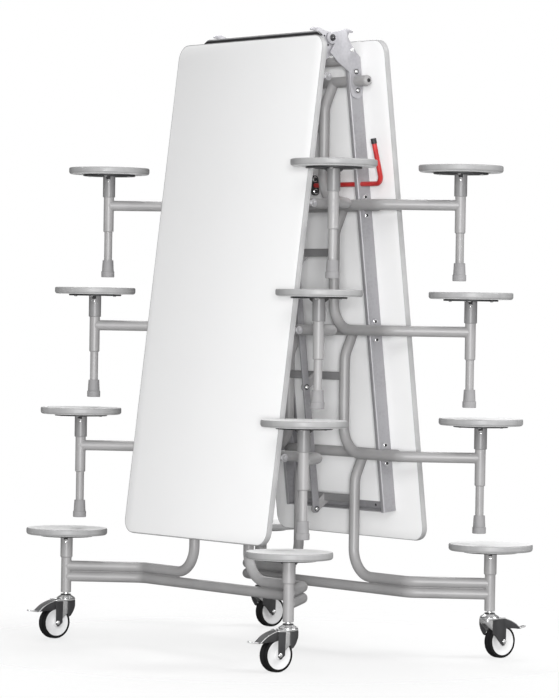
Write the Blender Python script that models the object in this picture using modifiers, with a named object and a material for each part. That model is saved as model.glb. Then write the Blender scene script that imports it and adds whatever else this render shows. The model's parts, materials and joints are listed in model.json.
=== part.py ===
"""Mobile folding canteen table with attached stools, standing folded on its casters.

The table is two equal halves, the second turned half a circle about the vertical axis. Each half is
modelled as on the open table: leaf flat, hinge axis along Y, leaf running outward along +X.
"""

import math

import bmesh
import bpy
from mathutils import Matrix, Vector

# Table top
LEAF_LENGTH = 1.525
LEAF_WIDTH = 0.728
BOARD_THICKNESS = 0.018
CORNER_RADIUS = 0.045
EDGING_THICKNESS = 0.003
LIP_PROUD = 0.0095
LIP_LEFT = 0.243
LIP_RIGHT = 0.340
LIP_HEIGHT = 0.013
TABLE_HEIGHT = 0.643
LEAN = math.radians(7.1)

# Rails, cross members and centre hinge under each leaf
RAIL_SPREAD = 0.490
RAIL_HEIGHT = 0.049
RAIL_FLANGE = 0.030
RAIL_RETURN = 0.0245
SHEET = 0.003
RAIL_START = 0.080
RAIL_END = 1.4355
END_FLANGE = 0.024
END_LEG = 0.045
HINGE_GAP = 0.0162
HINGE_DEPTH = 0.121
HINGE_PLATE = 0.005
HINGE_BOLT_RADIUS = 0.006
HINGE_HEAD_RADIUS = 0.0095
HINGE_HEAD_HEIGHT = 0.006
HINGE_TUBE_RADIUS = 0.0155
HINGE_TUBE_OUT = 0.072
HINGE_TUBE_UP = 0.040

# Outline of a hinge plate, out from the bolt and up towards the board
HINGE_BOSS_RADIUS = 0.019
HOOK_BACK = ((-0.0165, 0.006), (-0.0190, 0.030), (-0.0240, 0.052), (-0.0215, 0.066))
HOOK_TIP = ((-0.0135, 0.0815), (-0.0095, 0.078), (-0.0100, 0.066), (-0.0010, 0.060))
PLATE_SHOULDER = ((0.0151, 0.0687), (0.0355, 0.0863))
PLATE_ON_RAIL = 0.0539
PLATE_THROAT = ((0.0648, 0.0067), (0.0407, -0.0128))
PLATE_BEFORE_PIVOT = 0.040
PLATE_PAST_PIVOT = 0.030

# Stool frames
ROW_COUNT = 4
FIRST_ROW = 0.120
ROW_SPACING = 0.3795
PIVOT_DEPTH = 0.042
PIVOT_LENGTH = 0.616
TUBE_RADIUS = 0.016
RISER_SPREAD = 0.276
RISER_SETBACK = 0.034
JOG_DROP = 0.078
JOG_RADIUS = 0.075
ARM_HEIGHT = 0.2255
ARM_BEND = 0.085
KINK_SPREAD = 0.816
KINK_RADIUS = 0.050
STOOL_SPREAD = 1.141
STOOL_REACH = 0.1795
LOWER_TUBE_DROP = 0.033
CROSS_BAR = 0.024
CROSS_BAR_DROP = 0.141

# Parallel link that keeps the stools upright
PIN_SETBACK = 0.080
PIN_DROP = 0.178
PIN_RADIUS = 0.005
PIN_PROUD = 0.003
BRACKET_THICKNESS = 0.006
BRACKET_NOSE = 0.013
BRACKET_INSET = 0.0012
TIE_BAR_WIDTH = 0.024
TIE_BAR_THICKNESS = 0.006

# Stools
SEAT_DIAMETER = 0.2525
SEAT_THICKNESS = 0.023
SEAT_EDGE = 0.006
SEAT_TOP = 0.344
SEAT_PLATE_RADIUS = 0.075
SEAT_PLATE_THICKNESS = 0.003
COLLAR_RADIUS = 0.019
COLLAR_LENGTH = 0.067
POST_RADIUS = 0.016
POST_BOTTOM = 0.142
LEG_RADIUS = 0.0125
FOOT_HEIGHT = 0.054
FOOT_TOP_RADIUS = 0.017
FOOT_WAIST_RADIUS = 0.0187
FOOT_BASE_RADIUS = 0.0205
FOOT_FLANGE = 0.019
FOOT_SOLE = 0.012

# Casters
CASTER_HEIGHT = 0.142
CASTER_TRAIL = 0.042
WHEEL_RADIUS = 0.050
WHEEL_WIDTH = 0.030
HUB_WIDTH = 0.034
HUB_RADIUS = 0.014
RIM_RADIUS = 0.038
RIM_RECESS = 0.004
TREAD_WIDTH = 0.0186
AXLE_RADIUS = 0.005
FORK_SHEET = 0.0025
FORK_LIP = 0.0005
FORK_FRONT = 0.026
FORK_FRONT_DROP = 0.016
FORK_BACK = 0.014
FORK_BACK_DROP = 0.024
FORK_NOSE_WIDTH = 0.023
FORK_NOSE_DROP = 0.015
FORK_CHEEK_DROP = 0.004
CROWN_BACK = 0.006
HEAD_RADIUS = 0.029
HEAD_HEIGHT = 0.018
HEAD_NECK = 0.0054
HEAD_CONE = 0.0027
BRAKE_PIN_RADIUS = 0.003
BRAKE_PIN_OUT = 0.046
BRAKE_PIN_BELOW_CROWN = 0.0135
BRAKE_SHEET = 0.003
PEDAL_WING_REACH = 0.119
PEDAL_REACH = 0.142
PEDAL_DROP = 0.039

# Lock
ROD_RADIUS = 0.0075
ROD_ALONG = 0.4314
ROD_DEPTH = 0.050
ROD_BEYOND_RAIL = 0.016
CRANK_OUT = 0.095
CRANK_BEND = 0.026
HANDLE_LENGTH = 0.138
HANDLE_TILT = math.radians(8)
LATCH_WIDTH = 0.027
LATCH_LENGTH = 0.062
LATCH_THICKNESS = 0.008
LATCH_CORNER = 0.012
LATCH_OFFSET = 0.012

# Clearances
SEAT_GAP = 0.0003
RUNNING_GAP = 0.0004

# Facets
TUBE_RESOLUTION = 2
TURNED_STEPS = 8
SEAT_STEPS = 16
WHEEL_STEPS = 16
HOLE_SIDES = 8
ARC_STEPS = 4
NOSE_STEPS = 3
PIN_SIDES = 8
BEND_ANGLE = math.radians(30)
SHARP_ANGLE = math.radians(40)
WELD_DISTANCE = 0.000001
TURN_MERGE = 0.0001

# Places that follow from the sizes above
FOLD = math.pi / 2 - LEAN
PIVOT_HEIGHT = TABLE_HEIGHT - PIVOT_DEPTH
PIVOT_UP = HINGE_DEPTH - PIVOT_DEPTH
UNDERSIDE = HINGE_DEPTH - BOARD_THICKNESS
ROW_OUT = [HINGE_GAP + FIRST_ROW + row * ROW_SPACING for row in range(ROW_COUNT)]
HINGE_HEIGHT = PIVOT_HEIGHT + ROW_OUT[-1] * math.cos(LEAN) - PIVOT_UP * math.sin(LEAN)
ARM_DROP = PIVOT_HEIGHT - ARM_HEIGHT
STOOL_OUT = STOOL_REACH - RISER_SETBACK
SEAT_BOTTOM = SEAT_TOP - SEAT_THICKNESS
RAIL_Y = RAIL_SPREAD / 2
CROWN_TOP = CASTER_HEIGHT - SEAT_GAP - HEAD_HEIGHT
FORK_INNER = HUB_WIDTH / 2 + RUNNING_GAP

STEEL = ("painted_steel", (0.56, 0.56, 0.57), 0.38, 0.25)
ZINC = ("plated_steel", (0.60, 0.60, 0.65), 0.35, 0.75)
LAMINATE = ("white_laminate", (0.90, 0.90, 0.90), 0.35, 0.0)
EDGE_GREY = ("edging_plastic", (0.50, 0.50, 0.51), 0.50, 0.0)
RUBBER = ("grey_rubber", (0.42, 0.42, 0.43), 0.75, 0.0)
CHROME = ("bright_fork", (0.70, 0.70, 0.71), 0.22, 0.95)
TYRE = ("black_tyre", (0.03, 0.03, 0.03), 0.65, 0.0)
DARK = ("dark_plastic", (0.06, 0.06, 0.065), 0.50, 0.0)
RED = ("red_coating", (0.62, 0.05, 0.05), 0.35, 0.0)
BLACK = ("black_steel", (0.02, 0.02, 0.02), 0.45, 0.3)


def clear_scene():
    for obj in list(bpy.data.objects):
        bpy.data.objects.remove(obj, do_unlink=True)


clear_scene()
PARTS = bpy.data.collections.new("folding_stool_table")
bpy.context.scene.collection.children.link(PARTS)


def material_of(finish):
    name, colour, roughness, metallic = finish
    material = bpy.data.materials.get(name)
    if material is None:
        material = bpy.data.materials.new(name)
        material.use_nodes = True
        shader = material.node_tree.nodes["Principled BSDF"]
        shader.inputs["Base Color"].default_value = (*colour, 1.0)
        shader.inputs["Roughness"].default_value = roughness
        shader.inputs["Metallic"].default_value = metallic
        material.diffuse_color = (*colour, 1.0)
    return material


def working_object(data):
    """A helper that is baked into a mesh and then removed."""
    obj = bpy.data.objects.new("working", data)
    PARTS.objects.link(obj)
    return obj


def bake(obj):
    """The evaluated mesh of a working object, with loose caps welded."""
    bpy.context.view_layer.update()
    graph = bpy.context.evaluated_depsgraph_get()
    mesh = bpy.data.meshes.new_from_object(obj.evaluated_get(graph))
    mesh.transform(obj.matrix_world)
    bpy.data.objects.remove(obj, do_unlink=True)
    bm = bmesh.new()
    bm.from_mesh(mesh)
    bmesh.ops.remove_doubles(bm, verts=bm.verts, dist=WELD_DISTANCE)
    bmesh.ops.recalc_face_normals(bm, faces=bm.faces)
    bm.to_mesh(mesh)
    bm.free()
    return mesh


def tube(points, radius):
    curve = bpy.data.curves.new("tube", "CURVE")
    curve.dimensions = "3D"
    curve.bevel_depth = radius
    curve.bevel_resolution = TUBE_RESOLUTION
    curve.use_fill_caps = True
    spline = curve.splines.new("POLY")
    spline.points.add(len(points) - 1)
    for point, place in zip(spline.points, points):
        point.co = (*place, 1.0)
    return bake(working_object(curve))


def bent(corners, radii):
    """A run of straights with a round bend at each inner corner."""
    points = [Vector(corners[0])]
    for before, corner, after, radius in zip(corners, corners[1:], corners[2:], radii):
        corner = Vector(corner)
        back = (Vector(before) - corner).normalized()
        ahead = (Vector(after) - corner).normalized()
        half = back.angle(ahead) / 2
        centre = corner + (back + ahead).normalized() * (radius / math.sin(half))
        start = (corner + back * (radius / math.tan(half)) - centre).normalized()
        end = (corner + ahead * (radius / math.tan(half)) - centre).normalized()
        steps = max(1, round((math.pi - 2 * half) / BEND_ANGLE))
        for step in range(steps + 1):
            points.append(centre + radius * start.slerp(end, step / steps))
    points.append(Vector(corners[-1]))
    return points


def rod_along_y(radius, start, end, place=(0.0, 0.0), sides=HOLE_SIDES):
    bm = bmesh.new()
    centre = Matrix.Translation((place[0], (start + end) / 2, place[1]))
    upright = Matrix.Rotation(math.pi / 2, 4, "X")
    bmesh.ops.create_cone(
        bm, cap_ends=True, segments=sides, radius1=radius, radius2=radius,
        depth=abs(end - start), matrix=centre @ upright,
    )
    mesh = bpy.data.meshes.new("rod")
    bm.to_mesh(mesh)
    bm.free()
    return mesh


def hole_along_y(radius, gap, start, end, place):
    """A faceted hole whose flats stay clear of a shaft of that radius by the gap."""
    return rod_along_y((radius + gap) / math.cos(math.pi / HOLE_SIDES), start, end, place)


def box(low, high):
    low = Vector(low)
    high = Vector(high)
    bm = bmesh.new()
    bmesh.ops.create_cube(bm, size=1.0)
    bmesh.ops.scale(bm, vec=high - low, verts=bm.verts)
    bmesh.ops.translate(bm, vec=(low + high) / 2, verts=bm.verts)
    mesh = bpy.data.meshes.new("box")
    bm.to_mesh(mesh)
    bm.free()
    return mesh


def arc(centre, radius, first, last, steps=ARC_STEPS):
    turn = [first + (last - first) * step / steps for step in range(steps + 1)]
    return [(centre[0] + radius * math.cos(a), centre[1] + radius * math.sin(a)) for a in turn]


def circle(centre, radius, sides=HOLE_SIDES):
    return arc(centre, radius, 0.0, 2 * math.pi, sides)[:-1]


def plate(outlines, thickness, matrix):
    """A flat piece from closed outlines in its own XY plane, the later ones being holes."""
    curve = bpy.data.curves.new("plate", "CURVE")
    curve.dimensions = "2D"
    curve.fill_mode = "BOTH"
    curve.extrude = thickness / 2
    for outline in outlines:
        spline = curve.splines.new("POLY")
        spline.points.add(len(outline) - 1)
        spline.use_cyclic_u = True
        for point, place in zip(spline.points, outline):
            point.co = (place[0], place[1], 0.0, 1.0)
    obj = working_object(curve)
    obj.matrix_world = matrix
    return bake(obj)


def upright_plate(outlines, thickness, y):
    """A plate standing in the XZ plane, centred on the given y."""
    turn = Matrix.Rotation(math.pi / 2, 4, "X")
    return plate(outlines, thickness, Matrix.Translation((0.0, y, 0.0)) @ turn)


def turned(profile, steps, matrix=None):
    """A turned shape about Z from (radius, height) points that run down the outer side."""
    mesh = bpy.data.meshes.new("profile")
    points = [(radius, 0.0, height) for radius, height in profile]
    edges = [(i, i + 1) for i in range(len(points) - 1)]
    mesh.from_pydata(points, edges, [])
    obj = working_object(mesh)
    screw = obj.modifiers.new("turn", "SCREW")
    screw.axis = "Z"
    screw.steps = steps
    screw.render_steps = steps
    screw.use_merge_vertices = True
    screw.merge_threshold = TURN_MERGE
    if matrix is not None:
        obj.matrix_world = matrix
    return bake(obj)


def combine(base, others, operation):
    """One mesh from a base with other meshes joined to it or cut from it."""
    obj = working_object(base)
    helpers = [working_object(other) for other in others]
    for helper in helpers:
        modifier = obj.modifiers.new("combine", "BOOLEAN")
        modifier.operation = operation
        modifier.solver = "EXACT"
        modifier.object = helper
    mesh = bake(obj)
    for helper in helpers:
        bpy.data.objects.remove(helper, do_unlink=True)
    return mesh


def axis_empty(name, location, rotation, parent=None):
    empty = bpy.data.objects.new(name, None)
    empty.location = location
    empty.rotation_euler = rotation
    empty.parent = parent
    PARTS.objects.link(empty)
    return empty


def add_part(name, mesh, finish, parent, location=(0.0, 0.0, 0.0), rotation=(0.0, 0.0, 0.0)):
    obj = bpy.data.objects.new(name, mesh)
    obj.location = location
    obj.rotation_euler = rotation
    obj.parent = parent
    if not mesh.materials:
        mesh.materials.append(material_of(finish))
        mesh.shade_smooth()
        mesh.set_sharp_from_angle(angle=SHARP_ANGLE)
    PARTS.objects.link(obj)
    return obj


def rounded_rectangle(low, high, radius):
    corners = [(high[0], high[1]), (low[0], high[1]), (low[0], low[1]), (high[0], low[1])]
    points = []
    for quarter, (x, y) in enumerate(corners):
        inward_x = x - math.copysign(radius, x - (low[0] + high[0]) / 2)
        inward_y = y - math.copysign(radius, y - (low[1] + high[1]) / 2)
        first = quarter * math.pi / 2
        points += arc((inward_x, inward_y), radius, first, first + math.pi / 2)
    return points


def leaf_outline(inset):
    low = (HINGE_GAP + inset, -LEAF_WIDTH / 2 + inset)
    high = (HINGE_GAP + LEAF_LENGTH - inset, LEAF_WIDTH / 2 - inset)
    return rounded_rectangle(low, high, CORNER_RADIUS - inset)


def board_mesh():
    middle = Matrix.Translation((0.0, 0.0, HINGE_DEPTH - BOARD_THICKNESS / 2))
    return plate([leaf_outline(EDGING_THICKNESS + SEAT_GAP)], BOARD_THICKNESS, middle)


def edging_mesh():
    """The plastic edge band, with the dark lip that closes the gap between the open leaves."""
    middle = HINGE_DEPTH - BOARD_THICKNESS / 2
    band = [leaf_outline(0.0), leaf_outline(EDGING_THICKNESS)]
    ring = plate(band, BOARD_THICKNESS, Matrix.Translation((0.0, 0.0, middle)))
    low = (HINGE_GAP - LIP_PROUD, -LIP_LEFT, middle - LIP_HEIGHT / 2)
    high = (HINGE_GAP + EDGING_THICKNESS / 2, LIP_RIGHT, middle + LIP_HEIGHT / 2)
    return combine(ring, [box(low, high)], "UNION")


def channel_outline():
    """A folded channel with its outer corner at the origin, both flanges along +X and the web down."""
    web = RAIL_HEIGHT
    upper = [(SHEET, -SHEET), (RAIL_FLANGE, -SHEET), (RAIL_FLANGE, 0.0), (0.0, 0.0)]
    return upper + [(0.0, -web), (RAIL_RETURN, -web), (RAIL_RETURN, SHEET - web), (SHEET, SHEET - web)]


def rail_mesh(side):
    """One rail under the leaf: the web stands at the outer side, both flanges point inward."""
    start = HINGE_GAP + RAIL_START
    end = HINGE_GAP + RAIL_END
    across = Vector((0.0, -side, 0.0))
    upward = Vector((0.0, 0.0, 1.0))
    along = across.cross(upward)
    matrix = Matrix((across, upward, along)).transposed().to_4x4()
    matrix.translation = ((start + end) / 2, side * RAIL_Y, UNDERSIDE - SEAT_GAP)
    return plate([channel_outline()], end - start, matrix)


def end_member_mesh():
    """The angle across the far end of the two rails, welded a little below their upper faces."""
    turn = Matrix.Rotation(math.pi / 2, 4, "X")
    top = UNDERSIDE - SEAT_GAP - RUNNING_GAP
    place = Matrix.Translation((HINGE_GAP + RAIL_END - SEAT_GAP, 0.0, top))
    outline = [(0.0, 0.0), (-END_FLANGE, 0.0), (-END_FLANGE, -SHEET), (-SHEET, -SHEET)]
    outline += [(-SHEET, -END_LEG), (0.0, -END_LEG)]
    return plate([outline], RAIL_SPREAD - SHEET, place @ turn)


def hinge_plate_outline():
    """Round the hinge bolt, out to the stop hook, then along the head of the rail and back."""
    rail_low = UNDERSIDE - RAIL_HEIGHT
    rail_high = UNDERSIDE - SHEET
    end = (ROW_OUT[0] + PLATE_PAST_PIVOT, (rail_low + rail_high) / 2)
    boss = arc((0.0, 0.0), HINGE_BOSS_RADIUS, math.radians(-20), math.radians(-150))
    shoulder = [*PLATE_SHOULDER, (PLATE_ON_RAIL, rail_high)]
    foot = arc(end, (rail_high - rail_low) / 2, math.pi / 2, -math.pi / 2)
    throat = [(ROW_OUT[0] - PLATE_BEFORE_PIVOT, rail_low), *PLATE_THROAT]
    return [*boss, *HOOK_BACK, *HOOK_TIP, *shoulder, *foot, *throat]


def hinge_plate_mesh(y):
    return upright_plate([hinge_plate_outline()], HINGE_PLATE, y)


def outer_plate_y():
    """The left plate sits on the outer face of its rail, sunk a little as a weld."""
    return -(RAIL_Y + HINGE_PLATE / 2 - RUNNING_GAP)


def inner_plate_y():
    """The right plate sits on the inner face of its rail, so that the two leaves' plates pass."""
    return RAIL_Y - SHEET - HINGE_PLATE / 2 + RUNNING_GAP


def underframe_mesh():
    """Rails, end member, hinge plates and hinge tube of one leaf, welded together."""
    outer = outer_plate_y()
    inner = inner_plate_y()
    tube_ends = [(HINGE_TUBE_OUT, outer, HINGE_TUBE_UP), (HINGE_TUBE_OUT, inner, HINGE_TUBE_UP)]
    frame = combine(
        rail_mesh(-1),
        [rail_mesh(1), end_member_mesh(), hinge_plate_mesh(outer), hinge_plate_mesh(inner),
         tube(tube_ends, HINGE_TUBE_RADIUS)],
        "UNION",
    )
    reach = RAIL_Y + 2 * HINGE_PLATE
    cutters = [hole_along_y(TUBE_RADIUS, RUNNING_GAP, -reach, reach, (out, PIVOT_UP)) for out in ROW_OUT]
    cutters.append(hole_along_y(HINGE_BOLT_RADIUS, SEAT_GAP, -reach, reach, (0.0, 0.0)))
    cutters.append(hole_along_y(ROD_RADIUS, RUNNING_GAP, -reach, reach, rod_place()))
    return combine(frame, cutters, "DIFFERENCE")


def hinge_bolt_mesh():
    """A bolt through both plates at one side, head outside and nut inside."""
    outside = outer_plate_y() - HINGE_PLATE / 2 - SEAT_GAP
    inside = -inner_plate_y() + HINGE_PLATE / 2 + SEAT_GAP
    shank = rod_along_y(HINGE_BOLT_RADIUS, outside - HINGE_HEAD_HEIGHT / 2, inside + HINGE_HEAD_HEIGHT / 2)
    head = rod_along_y(HINGE_HEAD_RADIUS, outside - HINGE_HEAD_HEIGHT, outside)
    nut = rod_along_y(HINGE_HEAD_RADIUS, inside, inside + HINGE_HEAD_HEIGHT, sides=PIN_SIDES)
    return combine(shank, [head, nut], "UNION")


def rod_place():
    return (HINGE_GAP + ROD_ALONG, HINGE_DEPTH - ROD_DEPTH)


def lock_rod_mesh():
    """The red rod through both rails with its crank and upright handle at the left side."""
    crank = -(RAIL_Y + CRANK_OUT)
    handle = (-HANDLE_LENGTH * math.cos(HANDLE_TILT), crank, -HANDLE_LENGTH * math.sin(HANDLE_TILT))
    corners = [(0.0, RAIL_Y + ROD_BEYOND_RAIL, 0.0), (0.0, crank, 0.0), handle]
    return tube(bent(corners, [CRANK_BEND]), ROD_RADIUS)


def lock_latch_mesh():
    """The latch plate clamped on the middle of the rod."""
    half_width = LATCH_WIDTH / 2
    half_length = LATCH_LENGTH / 2
    outline = rounded_rectangle((-half_length, -half_width), (half_length, half_width), LATCH_CORNER)
    hole = circle((0.0, 0.0), (ROD_RADIUS + SEAT_GAP) / math.cos(math.pi / HOLE_SIDES))
    return upright_plate([outline, hole], LATCH_THICKNESS, -LATCH_OFFSET)


def tie_bar_y():
    """The tie bar runs beside the brackets, on their left face."""
    return -(BRACKET_THICKNESS / 2 + RUNNING_GAP + TIE_BAR_THICKNESS / 2)


def tie_bar_mesh():
    """A flat bar with a round end past each outer pin and a hole for every stool frame."""
    pins = [(-row * ROW_SPACING, 0.0) for row in range(ROW_COUNT)]
    radius = TIE_BAR_WIDTH / 2
    outline = arc(pins[0], radius, -math.pi / 2, math.pi / 2)
    outline += arc(pins[-1], radius, math.pi / 2, 1.5 * math.pi)
    clear = (PIN_RADIUS + RUNNING_GAP) / math.cos(math.pi / HOLE_SIDES)
    holes = [circle(pin, clear) for pin in pins]
    return upright_plate([outline] + holes, TIE_BAR_THICKNESS, tie_bar_y())


def arm_path(side):
    """Down from the pivot tube, round to the side, then out to the stool post."""
    riser = side * RISER_SPREAD / 2
    kink = side * KINK_SPREAD / 2
    post = side * STOOL_SPREAD / 2
    corners = [
        (0.0, riser, 0.0),
        (-RISER_SETBACK, riser, -JOG_DROP),
        (-RISER_SETBACK, riser, -ARM_DROP),
        (-RISER_SETBACK, kink, -ARM_DROP),
        (STOOL_OUT, post, -ARM_DROP),
    ]
    return bent(corners, [JOG_RADIUS, ARM_BEND, KINK_RADIUS])


def lower_tube_path():
    """The second tube of the base frame, straight across under the arms and out to both posts."""
    drop = -ARM_DROP - LOWER_TUBE_DROP
    kink = KINK_SPREAD / 2
    post = STOOL_SPREAD / 2
    corners = [
        (STOOL_OUT, -post, drop),
        (-RISER_SETBACK, -kink, drop),
        (-RISER_SETBACK, kink, drop),
        (STOOL_OUT, post, drop),
    ]
    return bent(corners, [KINK_RADIUS, KINK_RADIUS])


def post_mesh(side, has_leg):
    """Seat plate, collar and post, with the thinner leg below or, on the base frame, a caster seat."""
    plate_top = SEAT_BOTTOM - SEAT_GAP
    plate_bottom = plate_top - SEAT_PLATE_THICKNESS
    collar_bottom = plate_bottom - COLLAR_LENGTH
    profile = [(0.0, plate_top), (SEAT_PLATE_RADIUS, plate_top), (SEAT_PLATE_RADIUS, plate_bottom)]
    profile += [(COLLAR_RADIUS, plate_bottom), (COLLAR_RADIUS, collar_bottom), (POST_RADIUS, collar_bottom)]
    if has_leg:
        leg_bottom = FOOT_SOLE + SEAT_GAP
        profile += [(POST_RADIUS, POST_BOTTOM), (LEG_RADIUS, POST_BOTTOM), (LEG_RADIUS, leg_bottom)]
        profile += [(0.0, leg_bottom)]
    else:
        profile += [(POST_RADIUS, CASTER_HEIGHT), (0.0, CASTER_HEIGHT)]
    place = Matrix.Translation((STOOL_OUT, side * STOOL_SPREAD / 2, -PIVOT_HEIGHT))
    return turned(profile, TURNED_STEPS, place)


def bracket_mesh():
    """The gusset on the cross bar that holds the tie bar's pin."""
    bar = (-RISER_SETBACK, -CROSS_BAR_DROP)
    pin = (-PIN_SETBACK, -PIN_DROP)
    reach = CROSS_BAR / 2 - BRACKET_INSET
    slope = math.atan2(bar[1] - pin[1], bar[0] - pin[0])
    nose = arc(pin, BRACKET_NOSE, slope + math.pi / 2, slope + 1.5 * math.pi, NOSE_STEPS)
    root = [(bar[0] + out * reach, bar[1] + up * reach) for out, up in ((1, -1), (1, 1), (-1, 1))]
    return upright_plate([nose + root], BRACKET_THICKNESS, 0.0)


def link_pin_mesh():
    """The pin through the bracket, with its end past the tie bar's outer face."""
    place = (-PIN_SETBACK, -PIN_DROP)
    face = tie_bar_y() - TIE_BAR_THICKNESS / 2
    return rod_along_y(PIN_RADIUS, face - PIN_PROUD, BRACKET_THICKNESS / 2 + PIN_PROUD, place, PIN_SIDES)


def cross_bar_mesh():
    half = CROSS_BAR / 2
    reach = RISER_SPREAD / 2
    low = (-RISER_SETBACK - half, -reach, -CROSS_BAR_DROP - half)
    high = (-RISER_SETBACK + half, reach, -CROSS_BAR_DROP + half)
    return box(low, high)


def stool_frame_mesh(is_base):
    """One welded frame: pivot tube, two bent arms, cross bar, link bracket and the two stool posts."""
    pivot_ends = [(0.0, -PIVOT_LENGTH / 2, 0.0), (0.0, PIVOT_LENGTH / 2, 0.0)]
    pieces = []
    for side in (-1, 1):
        pieces.append(tube(arm_path(side), TUBE_RADIUS))
        pieces.append(post_mesh(side, not is_base))
    pieces += [cross_bar_mesh(), bracket_mesh(), link_pin_mesh()]
    if is_base:
        pieces.append(tube(lower_tube_path(), TUBE_RADIUS))
    return combine(tube(pivot_ends, TUBE_RADIUS), pieces, "UNION")


def seat_mesh():
    radius = SEAT_DIAMETER / 2
    half = SEAT_THICKNESS / 2
    upper = [(0.0, half), (radius - SEAT_EDGE, half), (radius, half - SEAT_EDGE)]
    profile = upper + [(out, -up) for out, up in reversed(upper)]
    return turned(profile, SEAT_STEPS)


def foot_mesh():
    """A rubber foot pushed on the leg: socket from above, tapered body, wide flange on the floor."""
    socket = LEG_RADIUS + SEAT_GAP
    profile = [
        (0.0, FOOT_SOLE),
        (socket, FOOT_SOLE),
        (socket, FOOT_HEIGHT),
        (FOOT_TOP_RADIUS, FOOT_HEIGHT),
        (FOOT_WAIST_RADIUS, FOOT_FLANGE),
        (FOOT_BASE_RADIUS, FOOT_FLANGE),
        (FOOT_BASE_RADIUS, 0.0),
        (0.0, 0.0),
    ]
    return turned(profile, TURNED_STEPS)


def fork_leg_outline():
    """A leg that narrows from the crown to a pointed end under the axle."""
    back = CASTER_TRAIL + FORK_BACK
    top = CROWN_TOP - FORK_SHEET / 2
    cheek = WHEEL_RADIUS - FORK_CHEEK_DROP
    return [
        (-FORK_FRONT, top),
        (-FORK_FRONT, CROWN_TOP - FORK_FRONT_DROP),
        (CASTER_TRAIL - FORK_NOSE_WIDTH / 2, cheek),
        (CASTER_TRAIL, WHEEL_RADIUS - FORK_NOSE_DROP),
        (CASTER_TRAIL + FORK_NOSE_WIDTH / 2, cheek),
        (back, CROWN_TOP - FORK_BACK_DROP),
        (back, top),
    ]


def brake_pin_place():
    return (BRAKE_PIN_OUT, CROWN_TOP - FORK_SHEET - BRAKE_PIN_BELOW_CROWN)


def fork_mesh():
    """Swivel head, crown, two legs and the axle of a caster."""
    leg_y = FORK_INNER + FORK_SHEET / 2
    outline = fork_leg_outline()
    clear = (BRAKE_PIN_RADIUS + SEAT_GAP) / math.cos(math.pi / PIN_SIDES)
    pin_hole = circle(brake_pin_place(), clear, PIN_SIDES)
    legs = [upright_plate([outline, pin_hole], FORK_SHEET, side * leg_y) for side in (-1, 1)]
    outside = FORK_INNER + FORK_SHEET
    lip = outside + FORK_LIP
    crown_low = (-FORK_FRONT - FORK_LIP, -lip, CROWN_TOP - FORK_SHEET)
    crown_high = (CASTER_TRAIL + CROWN_BACK, lip, CROWN_TOP)
    head_top = CROWN_TOP + HEAD_HEIGHT
    neck_bottom = head_top - HEAD_NECK
    head = turned([
        (0.0, head_top),
        (POST_RADIUS, head_top),
        (POST_RADIUS, neck_bottom),
        (HEAD_RADIUS, neck_bottom - HEAD_CONE),
        (HEAD_RADIUS, CROWN_TOP - FORK_SHEET / 2),
        (0.0, CROWN_TOP - FORK_SHEET / 2),
    ], TURNED_STEPS)
    axle_reach = outside + FORK_SHEET
    axle = rod_along_y(AXLE_RADIUS, -axle_reach, axle_reach, (CASTER_TRAIL, WHEEL_RADIUS), PIN_SIDES)
    return combine(box(crown_low, crown_high), legs + [head, axle], "UNION")


def wheel_mesh():
    """Tyre, dished centre and hub in one turned shape about the axle."""
    bore = (AXLE_RADIUS + SEAT_GAP) / math.cos(math.pi / WHEEL_STEPS)
    half = WHEEL_WIDTH / 2
    hub = HUB_WIDTH / 2
    tread = TREAD_WIDTH / 2
    shoulder = WHEEL_RADIUS - (half - tread)
    side = [(bore, hub), (HUB_RADIUS, hub), (HUB_RADIUS, half - RIM_RECESS)]
    side += [(RIM_RADIUS, half), (shoulder, half), (WHEEL_RADIUS, tread)]
    profile = side + [(radius, -height) for radius, height in reversed(side)] + [side[0]]
    matrix = Matrix.Rotation(math.pi / 2, 4, "X")
    return turned(profile, WHEEL_STEPS, matrix)


def brake_mesh():
    """Foot pedal: a wing over the wheel with a flat tip and stub pins in the fork's legs."""
    span = PEDAL_WING_REACH - BRAKE_PIN_OUT
    drop = PEDAL_DROP - BRAKE_PIN_BELOW_CROWN
    tip_end = PEDAL_REACH - BRAKE_PIN_OUT
    radius = (span * span + drop * drop) / (2 * drop)
    sweep = math.asin(span / radius)
    top = arc((0.0, -radius), radius + BRAKE_SHEET, math.pi / 2, math.pi / 2 - sweep)
    under = arc((0.0, -radius), radius, math.pi / 2 - sweep, math.pi / 2)
    tip = [(tip_end, BRAKE_SHEET - drop), (tip_end, -drop)]
    wing_width = 2 * (FORK_INNER - RUNNING_GAP)
    wing = upright_plate([top + tip + under], wing_width, 0.0)
    pin_reach = FORK_INNER + FORK_SHEET
    pin = rod_along_y(BRAKE_PIN_RADIUS, -pin_reach, pin_reach, sides=PIN_SIDES)
    return combine(wing, [pin], "UNION")


def row_place(row):
    """A stool row's pivot in the folded half."""
    out = ROW_OUT[row] * math.sin(LEAN) + PIVOT_UP * math.cos(LEAN)
    up = HINGE_HEIGHT - ROW_OUT[row] * math.cos(LEAN) + PIVOT_UP * math.sin(LEAN)
    return Vector((out, 0.0, up))


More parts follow.
